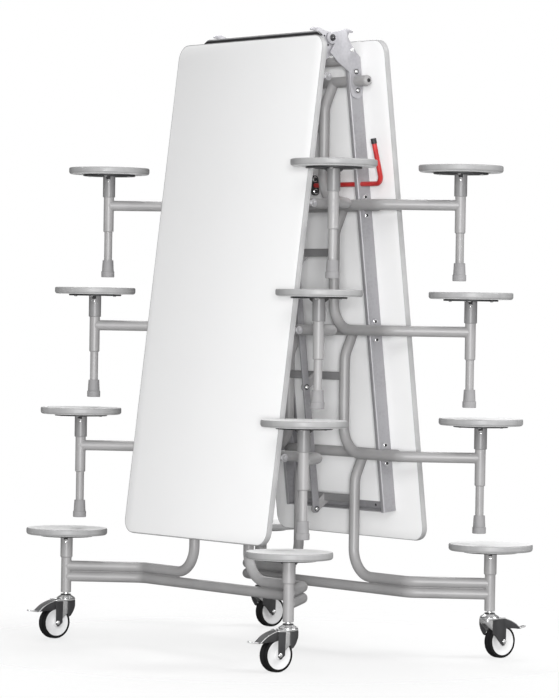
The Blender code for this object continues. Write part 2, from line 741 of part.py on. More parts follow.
def build_stools(half, parent, meshes):
    """The four stool frames of one half with their seats and feet."""
    for row in range(ROW_COUNT):
        is_base = row == ROW_COUNT - 1
        pivot = row_place(row)
        name = f"base_frame_{half}" if is_base else f"stool_frame_{half}{row + 1}"
        axis = axis_empty(f"{name}_axis", pivot, (0.0, 0.0, 0.0), parent)
        add_part(name, meshes["base_frame" if is_base else "stool_frame"], STEEL, axis)
        for side, word in ((-1, "left"), (1, "right")):
            place = Vector((STOOL_OUT, side * STOOL_SPREAD / 2, -PIVOT_HEIGHT))
            seat_middle = place + Vector((0.0, 0.0, SEAT_TOP - SEAT_THICKNESS / 2))
            add_part(f"seat_{half}{row + 1}_{word}", meshes["seat"], LAMINATE, axis, seat_middle)
            if is_base:
                build_caster(f"{half}_{word}", axis, place, meshes)
            else:
                add_part(f"foot_{half}{row + 1}_{word}", meshes["foot"], RUBBER, axis, place)


def build_caster(label, parent, place, meshes):
    swivel = axis_empty(f"caster_{label}_swivel", place, (0.0, 0.0, 0.0), parent)
    add_part(f"caster_fork_{label}", meshes["fork"], CHROME, swivel)
    add_part(f"caster_wheel_{label}", meshes["wheel"], TYRE, swivel, (CASTER_TRAIL, 0.0, WHEEL_RADIUS))
    pin_out, pin_up = brake_pin_place()
    add_part(f"caster_brake_{label}", meshes["brake"], DARK, swivel, (pin_out, 0.0, pin_up))


def build_leaf(half, parent, meshes):
    """Board, edging, underframe, tie bar and hinge bolt of one half."""
    axis = axis_empty(f"leaf_{half}_axis", (0.0, 0.0, HINGE_HEIGHT), (0.0, FOLD, 0.0), parent)
    add_part(f"board_{half}", meshes["board"], LAMINATE, axis)
    add_part(f"edging_{half}", meshes["edging"], EDGE_GREY, axis)
    add_part(f"underframe_{half}", meshes["underframe"], ZINC, axis)
    add_part(f"hinge_bolt_{half}", meshes["hinge_bolt"], BLACK, axis)
    link = row_place(ROW_COUNT - 1) + Vector((-PIN_SETBACK, 0.0, -PIN_DROP))
    add_part(f"tie_bar_{half}", meshes["tie_bar"], ZINC, parent, link, (0.0, FOLD, 0.0))
    return axis


def build_lock(leaf, meshes):
    out, up = rod_place()
    rod_axis = axis_empty("lock_axis", (out, 0.0, up), (0.0, 0.0, 0.0), leaf)
    add_part("lock_rod", meshes["lock_rod"], RED, rod_axis)
    add_part("lock_latch", meshes["lock_latch"], BLACK, rod_axis)


def main():
    meshes = {
        "board": board_mesh(),
        "edging": edging_mesh(),
        "underframe": underframe_mesh(),
        "hinge_bolt": hinge_bolt_mesh(),
        "tie_bar": tie_bar_mesh(),
        "lock_rod": lock_rod_mesh(),
        "lock_latch": lock_latch_mesh(),
        "stool_frame": stool_frame_mesh(False),
        "base_frame": stool_frame_mesh(True),
        "seat": seat_mesh(),
        "foot": foot_mesh(),
        "fork": fork_mesh(),
        "wheel": wheel_mesh(),
        "brake": brake_mesh(),
    }
    for half, turn in (("a", math.pi), ("b", 0.0)):
        parent = axis_empty(f"half_{half}", (0.0, 0.0, 0.0), (0.0, 0.0, turn))
        build_stools(half, parent, meshes)
        leaf = build_leaf(half, parent, meshes)
        if half == "b":
            build_lock(leaf, meshes)


main()
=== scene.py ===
"""Looks of the folding canteen table with stools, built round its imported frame."""

import json
import math

import bmesh
import bpy
from mathutils import Matrix, Vector


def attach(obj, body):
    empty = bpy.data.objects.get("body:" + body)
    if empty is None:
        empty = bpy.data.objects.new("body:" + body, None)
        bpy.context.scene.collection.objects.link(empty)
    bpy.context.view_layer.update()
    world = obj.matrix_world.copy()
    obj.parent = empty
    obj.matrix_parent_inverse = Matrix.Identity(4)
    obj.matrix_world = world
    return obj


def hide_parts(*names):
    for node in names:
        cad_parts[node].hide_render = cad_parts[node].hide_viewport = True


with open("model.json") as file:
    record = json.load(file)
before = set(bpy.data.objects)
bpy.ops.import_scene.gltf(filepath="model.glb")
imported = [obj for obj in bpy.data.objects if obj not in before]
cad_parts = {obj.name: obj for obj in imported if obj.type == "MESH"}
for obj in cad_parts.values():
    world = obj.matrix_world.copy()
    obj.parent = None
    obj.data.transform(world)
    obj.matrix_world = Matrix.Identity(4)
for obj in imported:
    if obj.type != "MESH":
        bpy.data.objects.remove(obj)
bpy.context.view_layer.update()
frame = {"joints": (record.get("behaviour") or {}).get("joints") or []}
JOINT = {joint["name"]: joint for joint in frame["joints"]}

# Leaf
LEAN = math.radians(7.1)
LEAF_LENGTH = 1.525
LEAF_WIDTH = 0.728
BOARD = 0.018
CORNER = 0.045
EDGE_BAND = 0.003
EDGE_CROWN = 0.0012
CROWN_STEPS = 8
LIP_PROUD = 0.0125
LIP_LEFT = {"a": 0.243, "b": 0.170}
LIP_RIGHT = 0.340
LIP_HEIGHT = 0.013
LIP_SLANT = 1.6
HINGE_GAP = 0.0162
HINGE_DEPTH = 0.121
BOARD_MIDDLE = HINGE_DEPTH - BOARD / 2
UNDERSIDE = HINGE_DEPTH - BOARD
TOUCH = 0.0003

# Rails and hinge
RAIL_Y = 0.245
RAIL_TOP = UNDERSIDE - TOUCH
RAIL_HEIGHT = 0.049
RAIL_FLANGE = 0.030
RAIL_RETURN = 0.0145
RAIL_SHEET = 0.003
RAIL_BEND = 0.0045
INNER_BEND = RAIL_BEND - RAIL_SHEET + 0.0005
SHEET_EDGE = 0.0008
RAIL_START = HINGE_GAP + 0.080
RAIL_END = HINGE_GAP + 1.4355
END_FLANGE = 0.024
END_LEG = 0.045
BOARD_SCREWS = (0.24, 0.42, 0.62, 0.80, 1.00, 1.18, 1.36)
HINGE_PLATE = 0.005
HINGE_SINK = 0.0004
HINGE_OUTER = -(RAIL_Y + HINGE_PLATE / 2 - HINGE_SINK)
HINGE_INNER = RAIL_Y - RAIL_SHEET - HINGE_PLATE / 2 + HINGE_SINK
HINGE_EDGE = 0.0009
HINGE_TUBE = (0.072, 0.040)
HINGE_TUBE_RADIUS = 0.0155
BOSS_RADIUS = 0.019
FLANGE = [(-0.038, -0.010), (-0.012, -0.022), (0.012, -0.022), (0.038, -0.010),
          (0.038, 0.010), (0.012, 0.020), (-0.012, 0.020), (-0.038, 0.010)]
FLANGE_BENDS = [0.008, 0.02, 0.02, 0.008] * 2
FLANGE_BOLT = 0.028

# Stool frames
ROW_STEP = 0.3795
ROW_OUT = [HINGE_GAP + 0.120 + row * ROW_STEP for row in range(4)]
PIVOT_UP = HINGE_DEPTH - 0.042
PIVOT_HEIGHT = 0.601
PIVOT_LENGTH = 0.616
TUBE = 0.016
RISER_Y = 0.138
RISER_BACK = 0.034
JOG_DROP = 0.078
ARM_DROP = 0.3755
KINK_Y = 0.408
KINK_BEND = 0.050
ARM_BENDS = [0.075, 0.085, KINK_BEND]
STOOL_Y = 0.5705
STOOL_OUT = 0.1455
LOWER_DROP = 0.033
CROSS_BAR = 0.024
CROSS_DROP = 0.141
BEAD = 0.0014
BEAD_STEPS = 40
PIN = Vector((-0.080, 0.0, -0.178))
BRACKET = 0.006
BRACKET_NOSE = 0.013
TIE_WIDTH = 0.024
TIE_THICK = 0.006
TIE_Y = -0.0064

# Stools
SEAT_RADIUS = 0.12625
SEAT_STEPS = 72
SEAT_TOP = 0.344
SEAT_THICK = 0.023
SEAT_ROUND = 0.0085
SEAT_EASE = 0.0045
SEAT_PAD = 0.0020
PLATE_RADIUS = 0.082
PLATE_THICK = 0.003
PLATE_TOP = SEAT_TOP - SEAT_THICK - TOUCH - PIVOT_HEIGHT
PLATE_LOW = PLATE_TOP - PLATE_THICK
SCREW_CIRCLE = 0.062
COLLAR_RADIUS = 0.019
COLLAR_LOW = PLATE_LOW - 0.067
POST_RADIUS = 0.016
POST_STEPS = 40
POST_BOTTOM = 0.142
LEG_RADIUS = 0.0125
LEG_BOTTOM = 0.0123
FOOT_HEIGHT = 0.054

# Casters
CASTER_HEIGHT = 0.142
TRAIL = 0.042
WHEEL_RADIUS = 0.050
WHEEL_HALF = 0.015
WHEEL_STEPS = 72
HUB_HALF = 0.017
CROWN_TOP = 0.1237
FORK_TOP = CROWN_TOP - 0.0012
FORK_LOW = 0.037
FORK_STEPS = 16
FORK_ROUND = 0.046
FORK_FRONT = -0.026
FORK_INNER = 0.0174
FORK_SHEET = 0.0025
FORK_OUTER = FORK_INNER + FORK_SHEET
BRAKE_PIN = Vector((0.046, 0.0, 0.1077))
BRAKE_HALF = 0.0165
# outlines of dark sheets laid on the bright fork: painted shade of its sides and its front
NEAR_SHADE_SHEET = [(-0.0030, 0.1190), (-0.0050, 0.0750), (0.0065, 0.0666), (0.0168, 0.0558), (0.0260, 0.0450),
              (0.0375, 0.0376), (0.0480, 0.0449), (0.0490, 0.0880), (0.0505, 0.1060), (0.0480, 0.1190)]
FAR_SHADE_SHEET = [(0.0235, 0.1165), (0.0255, 0.0490), (0.0405, 0.0376), (0.0498, 0.0440), (0.0505, 0.1165)]
FRONT_SHADE_SHEET = [(0.0060, 0.1200), (-0.0205, 0.1200), (-0.0205, 0.1000), (-0.0165, 0.0885), (-0.0120, 0.0800),
         (-0.0040, 0.0694), (0.0060, 0.0660)]

# Lock
ROD_AT = (HINGE_GAP + 0.4314, 0.0, HINGE_DEPTH - 0.050)
ROD_RADIUS = 0.0075
CRANK_Y = -(RAIL_Y + 0.095)
HANDLE = 0.138
HANDLE_TILT = math.radians(8)
LATCH_Y = -0.012
LATCH_THICK = 0.008

# Light and camera
ROOM_LIGHT = 0.36
FLOOR_SIZE = 40.0
LAMPS = (
    ("key_lamp", (-9.4, -9.8, 5.6), 3.6, 470.0),
    ("front_lamp", (-16.0, -21.1, 1.35), 3.0, 5650.0),
    ("side_lamp", (6.5, -7.5, 9.0), 4.0, 700.0),
    ("top_lamp", (0.0, 0.0, 14.0), 7.0, 330.0),
    ("fill_lamp", (4.5, 7.0, 8.0), 4.0, 380.0),
)
LAMP_AIM = Vector((0.0, 0.0, 0.9))
LENS = 178.63
LENS_SHIFT = -0.00143
EYE = (-6.44306, -8.42668, 1.04566)
SIGHT = Vector((0.6081, 0.7938, 0.0))
PITCH = math.radians(-0.699)
ROLL = math.radians(0.9056)

FINE_BEND = math.radians(6)
SHARP = math.radians(33)
UP = (0.0, 0.0, 1.0)
DOWN = (0.0, 0.0, -1.0)
NEAR = (0.0, -1.0, 0.0)
FAR = (0.0, 1.0, 0.0)
UPRIGHT = Matrix.Rotation(math.pi / 2, 4, "X")
TURN = {"a": Matrix.Rotation(math.pi, 4, "Z"), "b": Matrix.Identity(4)}
SIDES = ((-1, "left"), (1, "right"))


class Sock:
    """A shader value that takes part in plain arithmetic."""

    def __init__(self, finish, socket):
        self.finish = finish
        self.socket = socket

    def _with(self, operation, first, second):
        return self.finish.node("ShaderNodeMath", {"operation": operation}, (first, second))

    def __add__(self, other):
        return self._with("ADD", self, other)

    def __rsub__(self, other):
        return self._with("SUBTRACT", other, self)

    def __mul__(self, other):
        return self._with("MULTIPLY", self, other)

    __radd__ = __add__
    __rmul__ = __mul__


class Finish:
    """One material, with its pattern on the object's own coordinates."""

    def __init__(self, name, roughness=0.5, metallic=0.0, specular=0.5, coat=0.0):
        self.material = bpy.data.materials.new(name)
        self.material.use_nodes = True
        self.tree = self.material.node_tree
        self.shader = self.tree.nodes["Principled BSDF"]
        self.shader.inputs["Roughness"].default_value = roughness
        self.shader.inputs["Metallic"].default_value = metallic
        self.shader.inputs["Specular IOR Level"].default_value = specular
        self.shader.inputs["Coat Weight"].default_value = coat
        self.place = self.node("ShaderNodeTexCoord", {}, (), "Object")

    def feed(self, socket, value):
        if isinstance(value, Sock):
            self.tree.links.new(value.socket, socket)
        else:
            socket.default_value = value

    def node(self, kind, settings, values=(), output=0):
        """Any node: its settings first, then the values or links of its sockets by place or name."""
        node = self.tree.nodes.new(kind)
        for name, setting in settings.items():
            setattr(node, name, setting)
        pairs = values.items() if isinstance(values, dict) else enumerate(values)
        for key, value in pairs:
            self.feed(node.inputs[key], value)
        return Sock(self, node.outputs[output])

    def stretched(self, along):
        """The object's coordinates, drawn out along Z."""
        return self.node("ShaderNodeMapping", {}, {"Vector": self.place, "Scale": (1.0, 1.0, along)})

    def noise(self, scale, detail=2.0, at=None):
        values = {"Vector": at or self.place, "Scale": scale, "Detail": detail}
        return self.node("ShaderNodeTexNoise", {}, values, "Fac")

    def cells(self, scale):
        return self.node("ShaderNodeTexVoronoi", {}, {"Vector": self.place, "Scale": scale}, "Distance")

    def between(self, value, low, high):
        """A soft mask that rises from 0 at low to 1 at high."""
        settings = {"interpolation_type": "SMOOTHSTEP"}
        return self.node("ShaderNodeMapRange", settings, (value, low, high, 0.0, 1.0))

    def mix(self, factor, first, second):
        tint = [colour if isinstance(colour, Sock) else (*colour, 1.0) for colour in (first, second)]
        return self.node("ShaderNodeMix", {"data_type": "RGBA"}, {0: factor, 6: tint[0], 7: tint[1]}, 2)

    def grain(self, height, distance, strength):
        values = {"Height": height, "Distance": distance, "Strength": strength}
        return self.node("ShaderNodeBump", {}, values)

    def surface(self, colour, roughness=None, normal=None):
        for name, value in (("Base Color", colour), ("Roughness", roughness), ("Normal", normal)):
            if value is not None:
                self.feed(self.shader.inputs[name], value)
        return self.material


def powder_coat(name, dark, light, worn):
    """Grey powder coat: fine orange peel, faint clouding and a few scuffs."""
    f = Finish(name)
    cloud = f.noise(9.0, 3.0)
    scuff = f.between(f.noise(46.0, 6.0), 0.66, 0.74)
    colour = f.mix(f.between(cloud, 0.3, 0.7), dark, light)
    colour = f.mix(scuff * 0.35, colour, worn)
    peel = f.noise(950.0, 1.0)
    return f.surface(colour, 0.36 + cloud * 0.10 + scuff * 0.12, f.grain(peel, 0.00012, 0.55))


def zinc_sheet(name, dark, light):
    """Rolled and zinc plated sheet: cool grey, cloudy crystals and fine rolling lines."""
    f = Finish(name, metallic=0.35)
    crystal = f.cells(120.0)
    lines = f.noise(260.0, 2.0, f.stretched(0.06))
    cloud = f.noise(14.0, 3.0)
    colour = f.mix(f.between(crystal * 0.5 + cloud, 0.35, 0.95), dark, light)
    colour = f.mix(lines * 0.18, colour, (0.25, 0.246, 0.262))
    return f.surface(colour, 0.36 + crystal * 0.14 + lines * 0.06, f.grain(lines, 0.00006, 0.6))


def white_laminate(name, dark, light):
    """White laminate with a fine pearl structure and the faintest clouding."""
    f = Finish(name, specular=0.10)
    cloud = f.noise(3.0, 3.0)
    pearl = f.noise(1100.0, 2.0)
    speck = f.between(f.noise(420.0, 2.0), 0.70, 0.78)
    colour = f.mix(cloud, dark, light)
    colour = f.mix(speck * 0.25, colour, (0.76, 0.76, 0.765))
    return f.surface(colour, 0.56 + pearl * 0.10, f.grain(pearl, 0.00005, 0.5))


def moulded(name, dark, light, roughness, grain=0.00010, scale=700.0, specular=0.5):
    """Moulded plastic or rubber: two close tones, fine texture and slight streaks of flow."""
    f = Finish(name, specular=specular)
    cloud = f.noise(18.0, 4.0)
    streak = f.noise(60.0, 3.0, f.stretched(0.2))
    texture = f.noise(scale, 2.0)
    colour = f.mix(f.between(cloud * 0.6 + streak * 0.4, 0.32, 0.68), dark, light)
    return f.surface(colour, texture * 0.16 + (roughness - 0.08), f.grain(texture, grain, 0.6))


def bright_zinc():
    """Bright plated steel with drawing lines and dull patches."""
    f = Finish("bright_zinc", metallic=0.9)
    lines = f.noise(420.0, 2.0, f.stretched(0.12))
    dull = f.noise(55.0, 4.0)
    colour = f.mix(f.between(dull, 0.35, 0.7), (0.80, 0.80, 0.805), (0.92, 0.92, 0.92))
    return f.surface(colour, 0.14 + dull * 0.14 + lines * 0.05, f.grain(lines, 0.00004, 0.5))


def red_dip():
    """Glossy red dip coat, a little darker where it pools."""
    f = Finish("red_dip", coat=0.3)
    pool = f.noise(26.0, 3.0)
    fine = f.noise(500.0, 2.0)
    colour = f.mix(f.between(pool, 0.35, 0.7), (0.42, 0.018, 0.019), (0.55, 0.033, 0.031))
    return f.surface(colour, 0.24 + pool * 0.16, f.grain(fine + pool, 0.00010, 0.5))


def wheel_centre():
    """Pale moulded wheel centre with turning rings round the axle."""
    f = Finish("wheel_centre", specular=0.4)
    reach = f.node("ShaderNodeAttribute", {"attribute_name": "reach"}, (), "Fac")
    ring = f.node("ShaderNodeMath", {"operation": "SINE"}, (reach * 2600.0,)) * 0.5 + 0.5
    cloud = f.noise(40.0, 3.0)
    colour = f.mix(cloud, (0.62, 0.62, 0.625), (0.76, 0.76, 0.76))
    colour = f.mix(ring * 0.16, colour, (0.50, 0.50, 0.51))
    return f.surface(colour, 0.42 + cloud * 0.12, f.grain(ring, 0.00012, 0.5))


POWDER = powder_coat("powder_coat", (0.302, 0.298, 0.300), (0.340, 0.335, 0.337), (0.235, 0.232, 0.234))
# painted shadow: a darker copy of the powder coat for the shadow the seat casts on the collar
SEAT_SHADOW_COAT = powder_coat("sleeve_painted_seat_shadow", (0.205, 0.203, 0.206), (0.238, 0.236, 0.239), (0.17, 0.17, 0.17))
# painted shade: a darker copy of the same powder coat for the shade the cross bars sit in
BAR = powder_coat("cross_bar_painted_shade", (0.185, 0.183, 0.186), (0.225, 0.223, 0.226), (0.15, 0.15, 0.15))
ZINC = zinc_sheet("zinc_sheet", (0.290, 0.286, 0.300), (0.354, 0.350, 0.365))
HINGE_ZINC = zinc_sheet("hinge_zinc", (0.385, 0.381, 0.402), (0.455, 0.450, 0.472))
LAMINATE = white_laminate("white_laminate", (0.835, 0.835, 0.838), (0.865, 0.865, 0.866))
SEAT_WHITE = white_laminate("seat_laminate", (0.91, 0.91, 0.911), (0.94, 0.94, 0.94))
BRIGHT = bright_zinc()
RED = red_dip()
CENTRE = wheel_centre()
BAND = moulded("edge_band", (0.37, 0.37, 0.373), (0.42, 0.42, 0.423), 0.50)
RIM = moulded("seat_rim", (0.32, 0.32, 0.323), (0.375, 0.375, 0.376), 0.46)
LIP = moulded("closing_lip", (0.006, 0.006, 0.007), (0.014, 0.014, 0.015), 0.50)
# painted highlight: the top of the black rubber lip, paler than the same rubber
LIP_HIGHLIGHT = moulded("lip_painted_highlight", (0.20, 0.20, 0.205), (0.26, 0.26, 0.265), 0.48)
FOOT = moulded("foot_rubber", (0.233, 0.230, 0.235), (0.286, 0.282, 0.287), 0.66, 0.00018, 420.0)
TYRE = moulded("tyre_rubber", (0.004, 0.004, 0.004), (0.010, 0.010, 0.011), 0.62, 0.00016, 520.0, 0.15)
# painted light: a paler copy of the pedal's dark plastic for the lit top of the wing
WING_LIT_TOP = moulded("wing_top_painted_light", (0.090, 0.090, 0.093), (0.125, 0.125, 0.128), 0.44)
PEDAL = moulded("dark_pedal", (0.026, 0.026, 0.027), (0.042, 0.042, 0.044), 0.52, specular=0.3)
BLACK = moulded("black_oxide", (0.012, 0.012, 0.013), (0.030, 0.030, 0.032), 0.40, 0.00006, 900.0)
CAP = moulded("grey_cap", (0.24, 0.24, 0.243), (0.30, 0.30, 0.303), 0.48)


def new_mesh(bm, matrix=None):
    """The mesh of a finished shape, with its faces outward, in its place."""
    mesh = bpy.data.meshes.new("shape")
    bmesh.ops.recalc_face_normals(bm, faces=bm.faces)
    bm.to_mesh(mesh)
    bm.free()
    if matrix is not None:
        mesh.transform(matrix)
    return mesh


def for_each(radius, count):
    return radius if isinstance(radius, (list, tuple)) else [radius] * count


def bend(before, corner, after, radius):
    """Points of the round bend at one corner."""
    corner = Vector(corner)
    back = (Vector(before) - corner).normalized()
    ahead = (Vector(after) - corner).normalized()
    half = back.angle(ahead) / 2
    if radius <= 0 or half > math.pi / 2 - 0.001:
        return [corner]
    centre = corner + (back + ahead).normalized() * (radius / math.sin(half))
    start = (corner + back * (radius / math.tan(half)) - centre).normalized()
    end = (corner + ahead * (radius / math.tan(half)) - centre).normalized()
    steps = max(2, round((math.pi - 2 * half) / FINE_BEND))
    return [centre + radius * start.slerp(end, step / steps) for step in range(steps + 1)]


def path(corners, radii):
    """An open run of straights with round bends."""
    points = [Vector(corners[0])]
    for before, corner, after, radius in zip(corners, corners[1:], corners[2:], radii):
        points += bend(before, corner, after, radius)
    return points + [Vector(corners[-1])]


def straight(start, end, x=0.0, z=0.0):
    """A straight run across the table."""
    return [Vector((x, start, z)), Vector((x, end, z))]


def arc(centre, radius, degrees):
    """Flat points on a circle."""
    turns = [math.radians(angle) for angle in degrees]
    return [(centre[0] + radius * math.cos(t), centre[1] + radius * math.sin(t)) for t in turns]


def outline(corners, radius):
    """A closed flat outline with round corners; one radius, or one for each corner."""
    count = len(corners)
    points = []
    for i, round_off in enumerate(for_each(radius, count)):
        ring = [Vector((*corners[(i + k) % count], 0.0)) for k in (-1, 0, 1)]
        points += bend(*ring, round_off)
    return [(point.x, point.y) for point in points]


def round_rectangle(low, high, radius):
    return outline([high, (low[0], high[1]), low, (high[0], low[1])], radius)


def soft_profile(points, radius):
    """An open flat line with the corners between its ends rounded."""
    corners = [Vector((x, y, 0.0)) for x, y in points]
    return [(p.x, p.y) for p in path(corners, for_each(radius, len(points) - 2))]


def mirrored(half):
    """A turning profile and its mirror image below."""
    return half + [(radius, -height) for radius, height in reversed(half)]


def plate(shape, thickness, matrix=None, edge=0.0005):
    """A flat piece with softened edges from an outline in its own XY plane."""
    bm = bmesh.new()
    face = bm.faces.new([bm.verts.new((x, y, -thickness / 2)) for x, y in shape])
    raised = bmesh.ops.extrude_face_region(bm, geom=[face])["geom"]
    lifted = [item for item in raised if isinstance(item, bmesh.types.BMVert)]
    bmesh.ops.translate(bm, vec=(0.0, 0.0, thickness), verts=lifted)
    rims = [e for e in bm.edges if abs(e.verts[0].co.z - e.verts[1].co.z) < 1e-9]
    bmesh.ops.bevel(bm, geom=rims, offset=edge, segments=2, affect="EDGES", profile=0.5)
    return new_mesh(bm, matrix)


def standing(shape, thickness, y, edge):
    """A plate that stands in the XZ plane, centred on y."""
    return plate(shape, thickness, Matrix.Translation((0.0, y, 0.0)) @ UPRIGHT, edge)


def loft(sections, ring=False):
    """A skin through equal closed sections, capped unless the sections run in a ring."""
    bm = bmesh.new()
    rows = [[bm.verts.new(point) for point in section] for section in sections]
    pairs = list(zip(rows, rows[1:]))
    if ring:
        pairs.append((rows[-1], rows[0]))
    for one, two in pairs:
        for i in range(len(one)):
            j = (i + 1) % len(one)
            bm.faces.new((one[i], one[j], two[j], two[i]))
    if not ring:
        bm.faces.new(rows[0])
        bm.faces.new(rows[-1])
    return new_mesh(bm)


def turned(profile, steps, matrix=None, closed=False):
    """A shape turned about Z from (radius, height) points."""
    bm = bmesh.new()
    turns = [2 * math.pi * i / steps for i in range(steps)]
    rings = []
    for radius, height in profile:
        if radius < 1e-7:
            rings.append([bm.verts.new((0.0, 0.0, height))] * steps)
        else:
            ring = [(radius * math.cos(a), radius * math.sin(a), height) for a in turns]
            rings.append([bm.verts.new(point) for point in ring])
    pairs = list(zip(rings, rings[1:]))
    if closed:
        pairs.append((rings[-1], rings[0]))
    for upper, lower in pairs:
        for i in range(steps):
            j = (i + 1) % steps
            corners = list(dict.fromkeys((upper[i], lower[i], lower[j], upper[j])))
            if len(corners) > 2:
                bm.faces.new(corners)
    return new_mesh(bm, matrix)


def solid(points, radius, steps, matrix=None):
    """A turned shape with rounded corners, whose flat ends run in to the axis."""
    whole = [(0.0, points[0][1]), *points, (0.0, points[-1][1])]
    return turned(soft_profile(whole, radius), steps, matrix)


def wire(tree, *links):
    """Links between nodes, each as source, output, target and input."""
    for source, output, target, entry in links:
        tree.links.new(source.outputs[output], target.inputs[entry])


def node_tree(name, inputs):
    """An empty geometry tree with named inputs and one geometry output."""
    tree = bpy.data.node_groups.new(name, "GeometryNodeTree")
    tree.interface.new_socket("Geometry", in_out="INPUT", socket_type="NodeSocketGeometry")
    for label, kind in inputs:
        tree.interface.new_socket(label, in_out="INPUT", socket_type=kind)
    tree.interface.new_socket("Geometry", in_out="OUTPUT", socket_type="NodeSocketGeometry")
    return tree, tree.nodes.new("NodeGroupInput"), tree.nodes.new("NodeGroupOutput")


def close_tree(tree, last, output, source, sink):
    """Realize Instances and Set Material, which end every tree."""
    realize = tree.nodes.new("GeometryNodeRealizeInstances")
    finish = tree.nodes.new("GeometryNodeSetMaterial")
    wire(tree, (last, output, realize, "Geometry"), (realize, "Geometry", finish, "Geometry"),
         (source, "Material", finish, "Material"), (finish, "Geometry", sink, "Geometry"))
    return tree


def tube_tree():
    """Round tube along every path of a curve."""
    tree, source, sink = node_tree("tube_along_path", [
        ("Radius", "NodeSocketFloat"), ("Sides", "NodeSocketInt"), ("Material", "NodeSocketMaterial")])
    ring = tree.nodes.new("GeometryNodeCurvePrimitiveCircle")
    sweep = tree.nodes.new("GeometryNodeCurveToMesh")
    sweep.inputs["Fill Caps"].default_value = True
    wire(tree, (source, "Sides", ring, "Resolution"), (source, "Radius", ring, "Radius"),
         (source, "Geometry", sweep, "Curve"), (ring, "Curve", sweep, "Profile Curve"))
    return close_tree(tree, sweep, "Mesh", source, sink)


def fastener_tree():
    """One fastener on every point, with its axis along the point's facing."""
    tree, source, sink = node_tree("fasteners_on_points", [
        ("Fastener", "NodeSocketObject"), ("Size", "NodeSocketFloat"), ("Material", "NodeSocketMaterial")])
    shape = tree.nodes.new("GeometryNodeObjectInfo")
    facing = tree.nodes.new("GeometryNodeInputNamedAttribute")
    facing.data_type = "FLOAT_VECTOR"
    facing.inputs["Name"].default_value = "facing"
    align = tree.nodes.new("FunctionNodeAlignRotationToVector")
    align.axis = "Z"
    points = tree.nodes.new("GeometryNodeMeshToPoints")
    spread = tree.nodes.new("GeometryNodeInstanceOnPoints")
    wire(tree, (source, "Fastener", shape, "Object"), (source, "Geometry", points, "Mesh"),
         (points, "Points", spread, "Points"), (shape, "Geometry", spread, "Instance"),
         (facing, "Attribute", align, "Vector"), (align, "Rotation", spread, "Rotation"),
         (source, "Size", spread, "Scale"))
    return close_tree(tree, spread, "Instances", source, sink)


def added(name, data):
    """A new object in the scene."""
    obj = bpy.data.objects.new(name, data)
    bpy.context.scene.collection.objects.link(obj)
    return obj


def grown(data, tree, values):
    """The plain mesh that a geometry tree makes from a curve or mesh, with its material."""
    obj = added("growing", data)
    modifier = obj.modifiers.new("grow", "NODES")
    modifier.node_group = tree
    for item in tree.interface.items_tree:
        if item.in_out == "INPUT" and item.name in values:
            modifier[item.identifier] = values[item.name]
    graph = bpy.context.evaluated_depsgraph_get()
    mesh = bpy.data.meshes.new_from_object(obj.evaluated_get(graph))
    obj.modifiers.remove(modifier)
    bpy.data.objects.remove(obj, do_unlink=True)
    return mesh, values["Material"]


TUBE_TREE = tube_tree()
FASTENER_TREE = fastener_tree()


def tubes(paths, radius, material, sides=24, cyclic=False):
    """Round tubes along several paths."""
    curve = bpy.data.curves.new("paths", "CURVE")
    curve.dimensions = "3D"
    for points in paths:
        spline = curve.splines.new("POLY")
        spline.points.add(len(points) - 1)
        spline.use_cyclic_u = cyclic
        for point, place in zip(spline.points, points):
            point.co = (*place, 1.0)
    return grown(curve, TUBE_TREE, {"Radius": radius, "Sides": sides, "Material": material})


def screw_shape(name, profile, sides):
    """A fastener with its flat seat at the origin and its head along Z, kept out of the scene."""
    return bpy.data.objects.new(name, turned(profile + [(1.0, 0.0), (0.0, 0.0)], sides))


HEX_BOLT = screw_shape("hex_bolt", [(0.0, 0.62), (0.80, 0.62), (1.0, 0.52)], 6)
PAN_SCREW = screw_shape("pan_screw", [(0.0, 0.18), (0.30, 0.18), (0.34, 0.50), (0.62, 0.46),
                                      (0.88, 0.28)], 14)
WASHER = screw_shape("washer", [(0.0, 0.16), (0.92, 0.16), (1.0, 0.10)], 24)
RIVET = screw_shape("rivet", [(0.0, 0.42), (0.45, 0.38), (0.82, 0.22)], 16)


def fasteners(shape, size, places, material):
    """One fastener at each (place, facing)."""
    mesh = bpy.data.meshes.new("places")
    mesh.from_pydata([place for place, _ in places], [], [])
    facing = mesh.attributes.new("facing", "FLOAT_VECTOR", "POINT")
    facing.data.foreach_set("vector", [number for _, way in places for number in way])
    return grown(mesh, FASTENER_TREE, {"Fastener": shape, "Size": size, "Material": material})


def bolted(places, washer, washer_finish, shape, size, finish, rise=0.0010):
    """A washer at each (place, facing) and a fastener on it."""
    above = [(Vector(place) + rise * Vector(facing), facing) for place, facing in places]
    return [fasteners(WASHER, washer, places, washer_finish), fasteners(shape, size, above, finish)]


def on_axis(rows):
    """Single fasteners along the Y axis, each as shape, size, y, facing and finish."""
    return [fasteners(shape, size, [((0.0, y, 0.0), facing)], finish)
            for shape, size, y, facing, finish in rows]


def finished(name, mesh, body, matrix, nodes):
    """An object in its place, smooth with sharp corners, riding on a body and standing for CAD nodes."""
    mesh.transform(matrix)
    mesh.shade_smooth()
    mesh.set_sharp_from_angle(angle=SHARP)
    obj = added(name, mesh)
    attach(obj, body)
    if nodes:
        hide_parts(*nodes)


def piece(name, body, parts, matrix, nodes):
    """One finished object from (mesh, material) pairs."""
    finishes = list(dict.fromkeys(material for _, material in parts))
    bm = bmesh.new()
    for mesh, material in parts:
        mesh.polygons.foreach_set("material_index", [finishes.index(material)] * len(mesh.polygons))
        bm.from_mesh(mesh)
    whole = bpy.data.meshes.new(name)
    bm.to_mesh(whole)
    bm.free()
    for material in finishes:
        whole.materials.append(material)
    finished(name, whole, body, matrix, nodes)


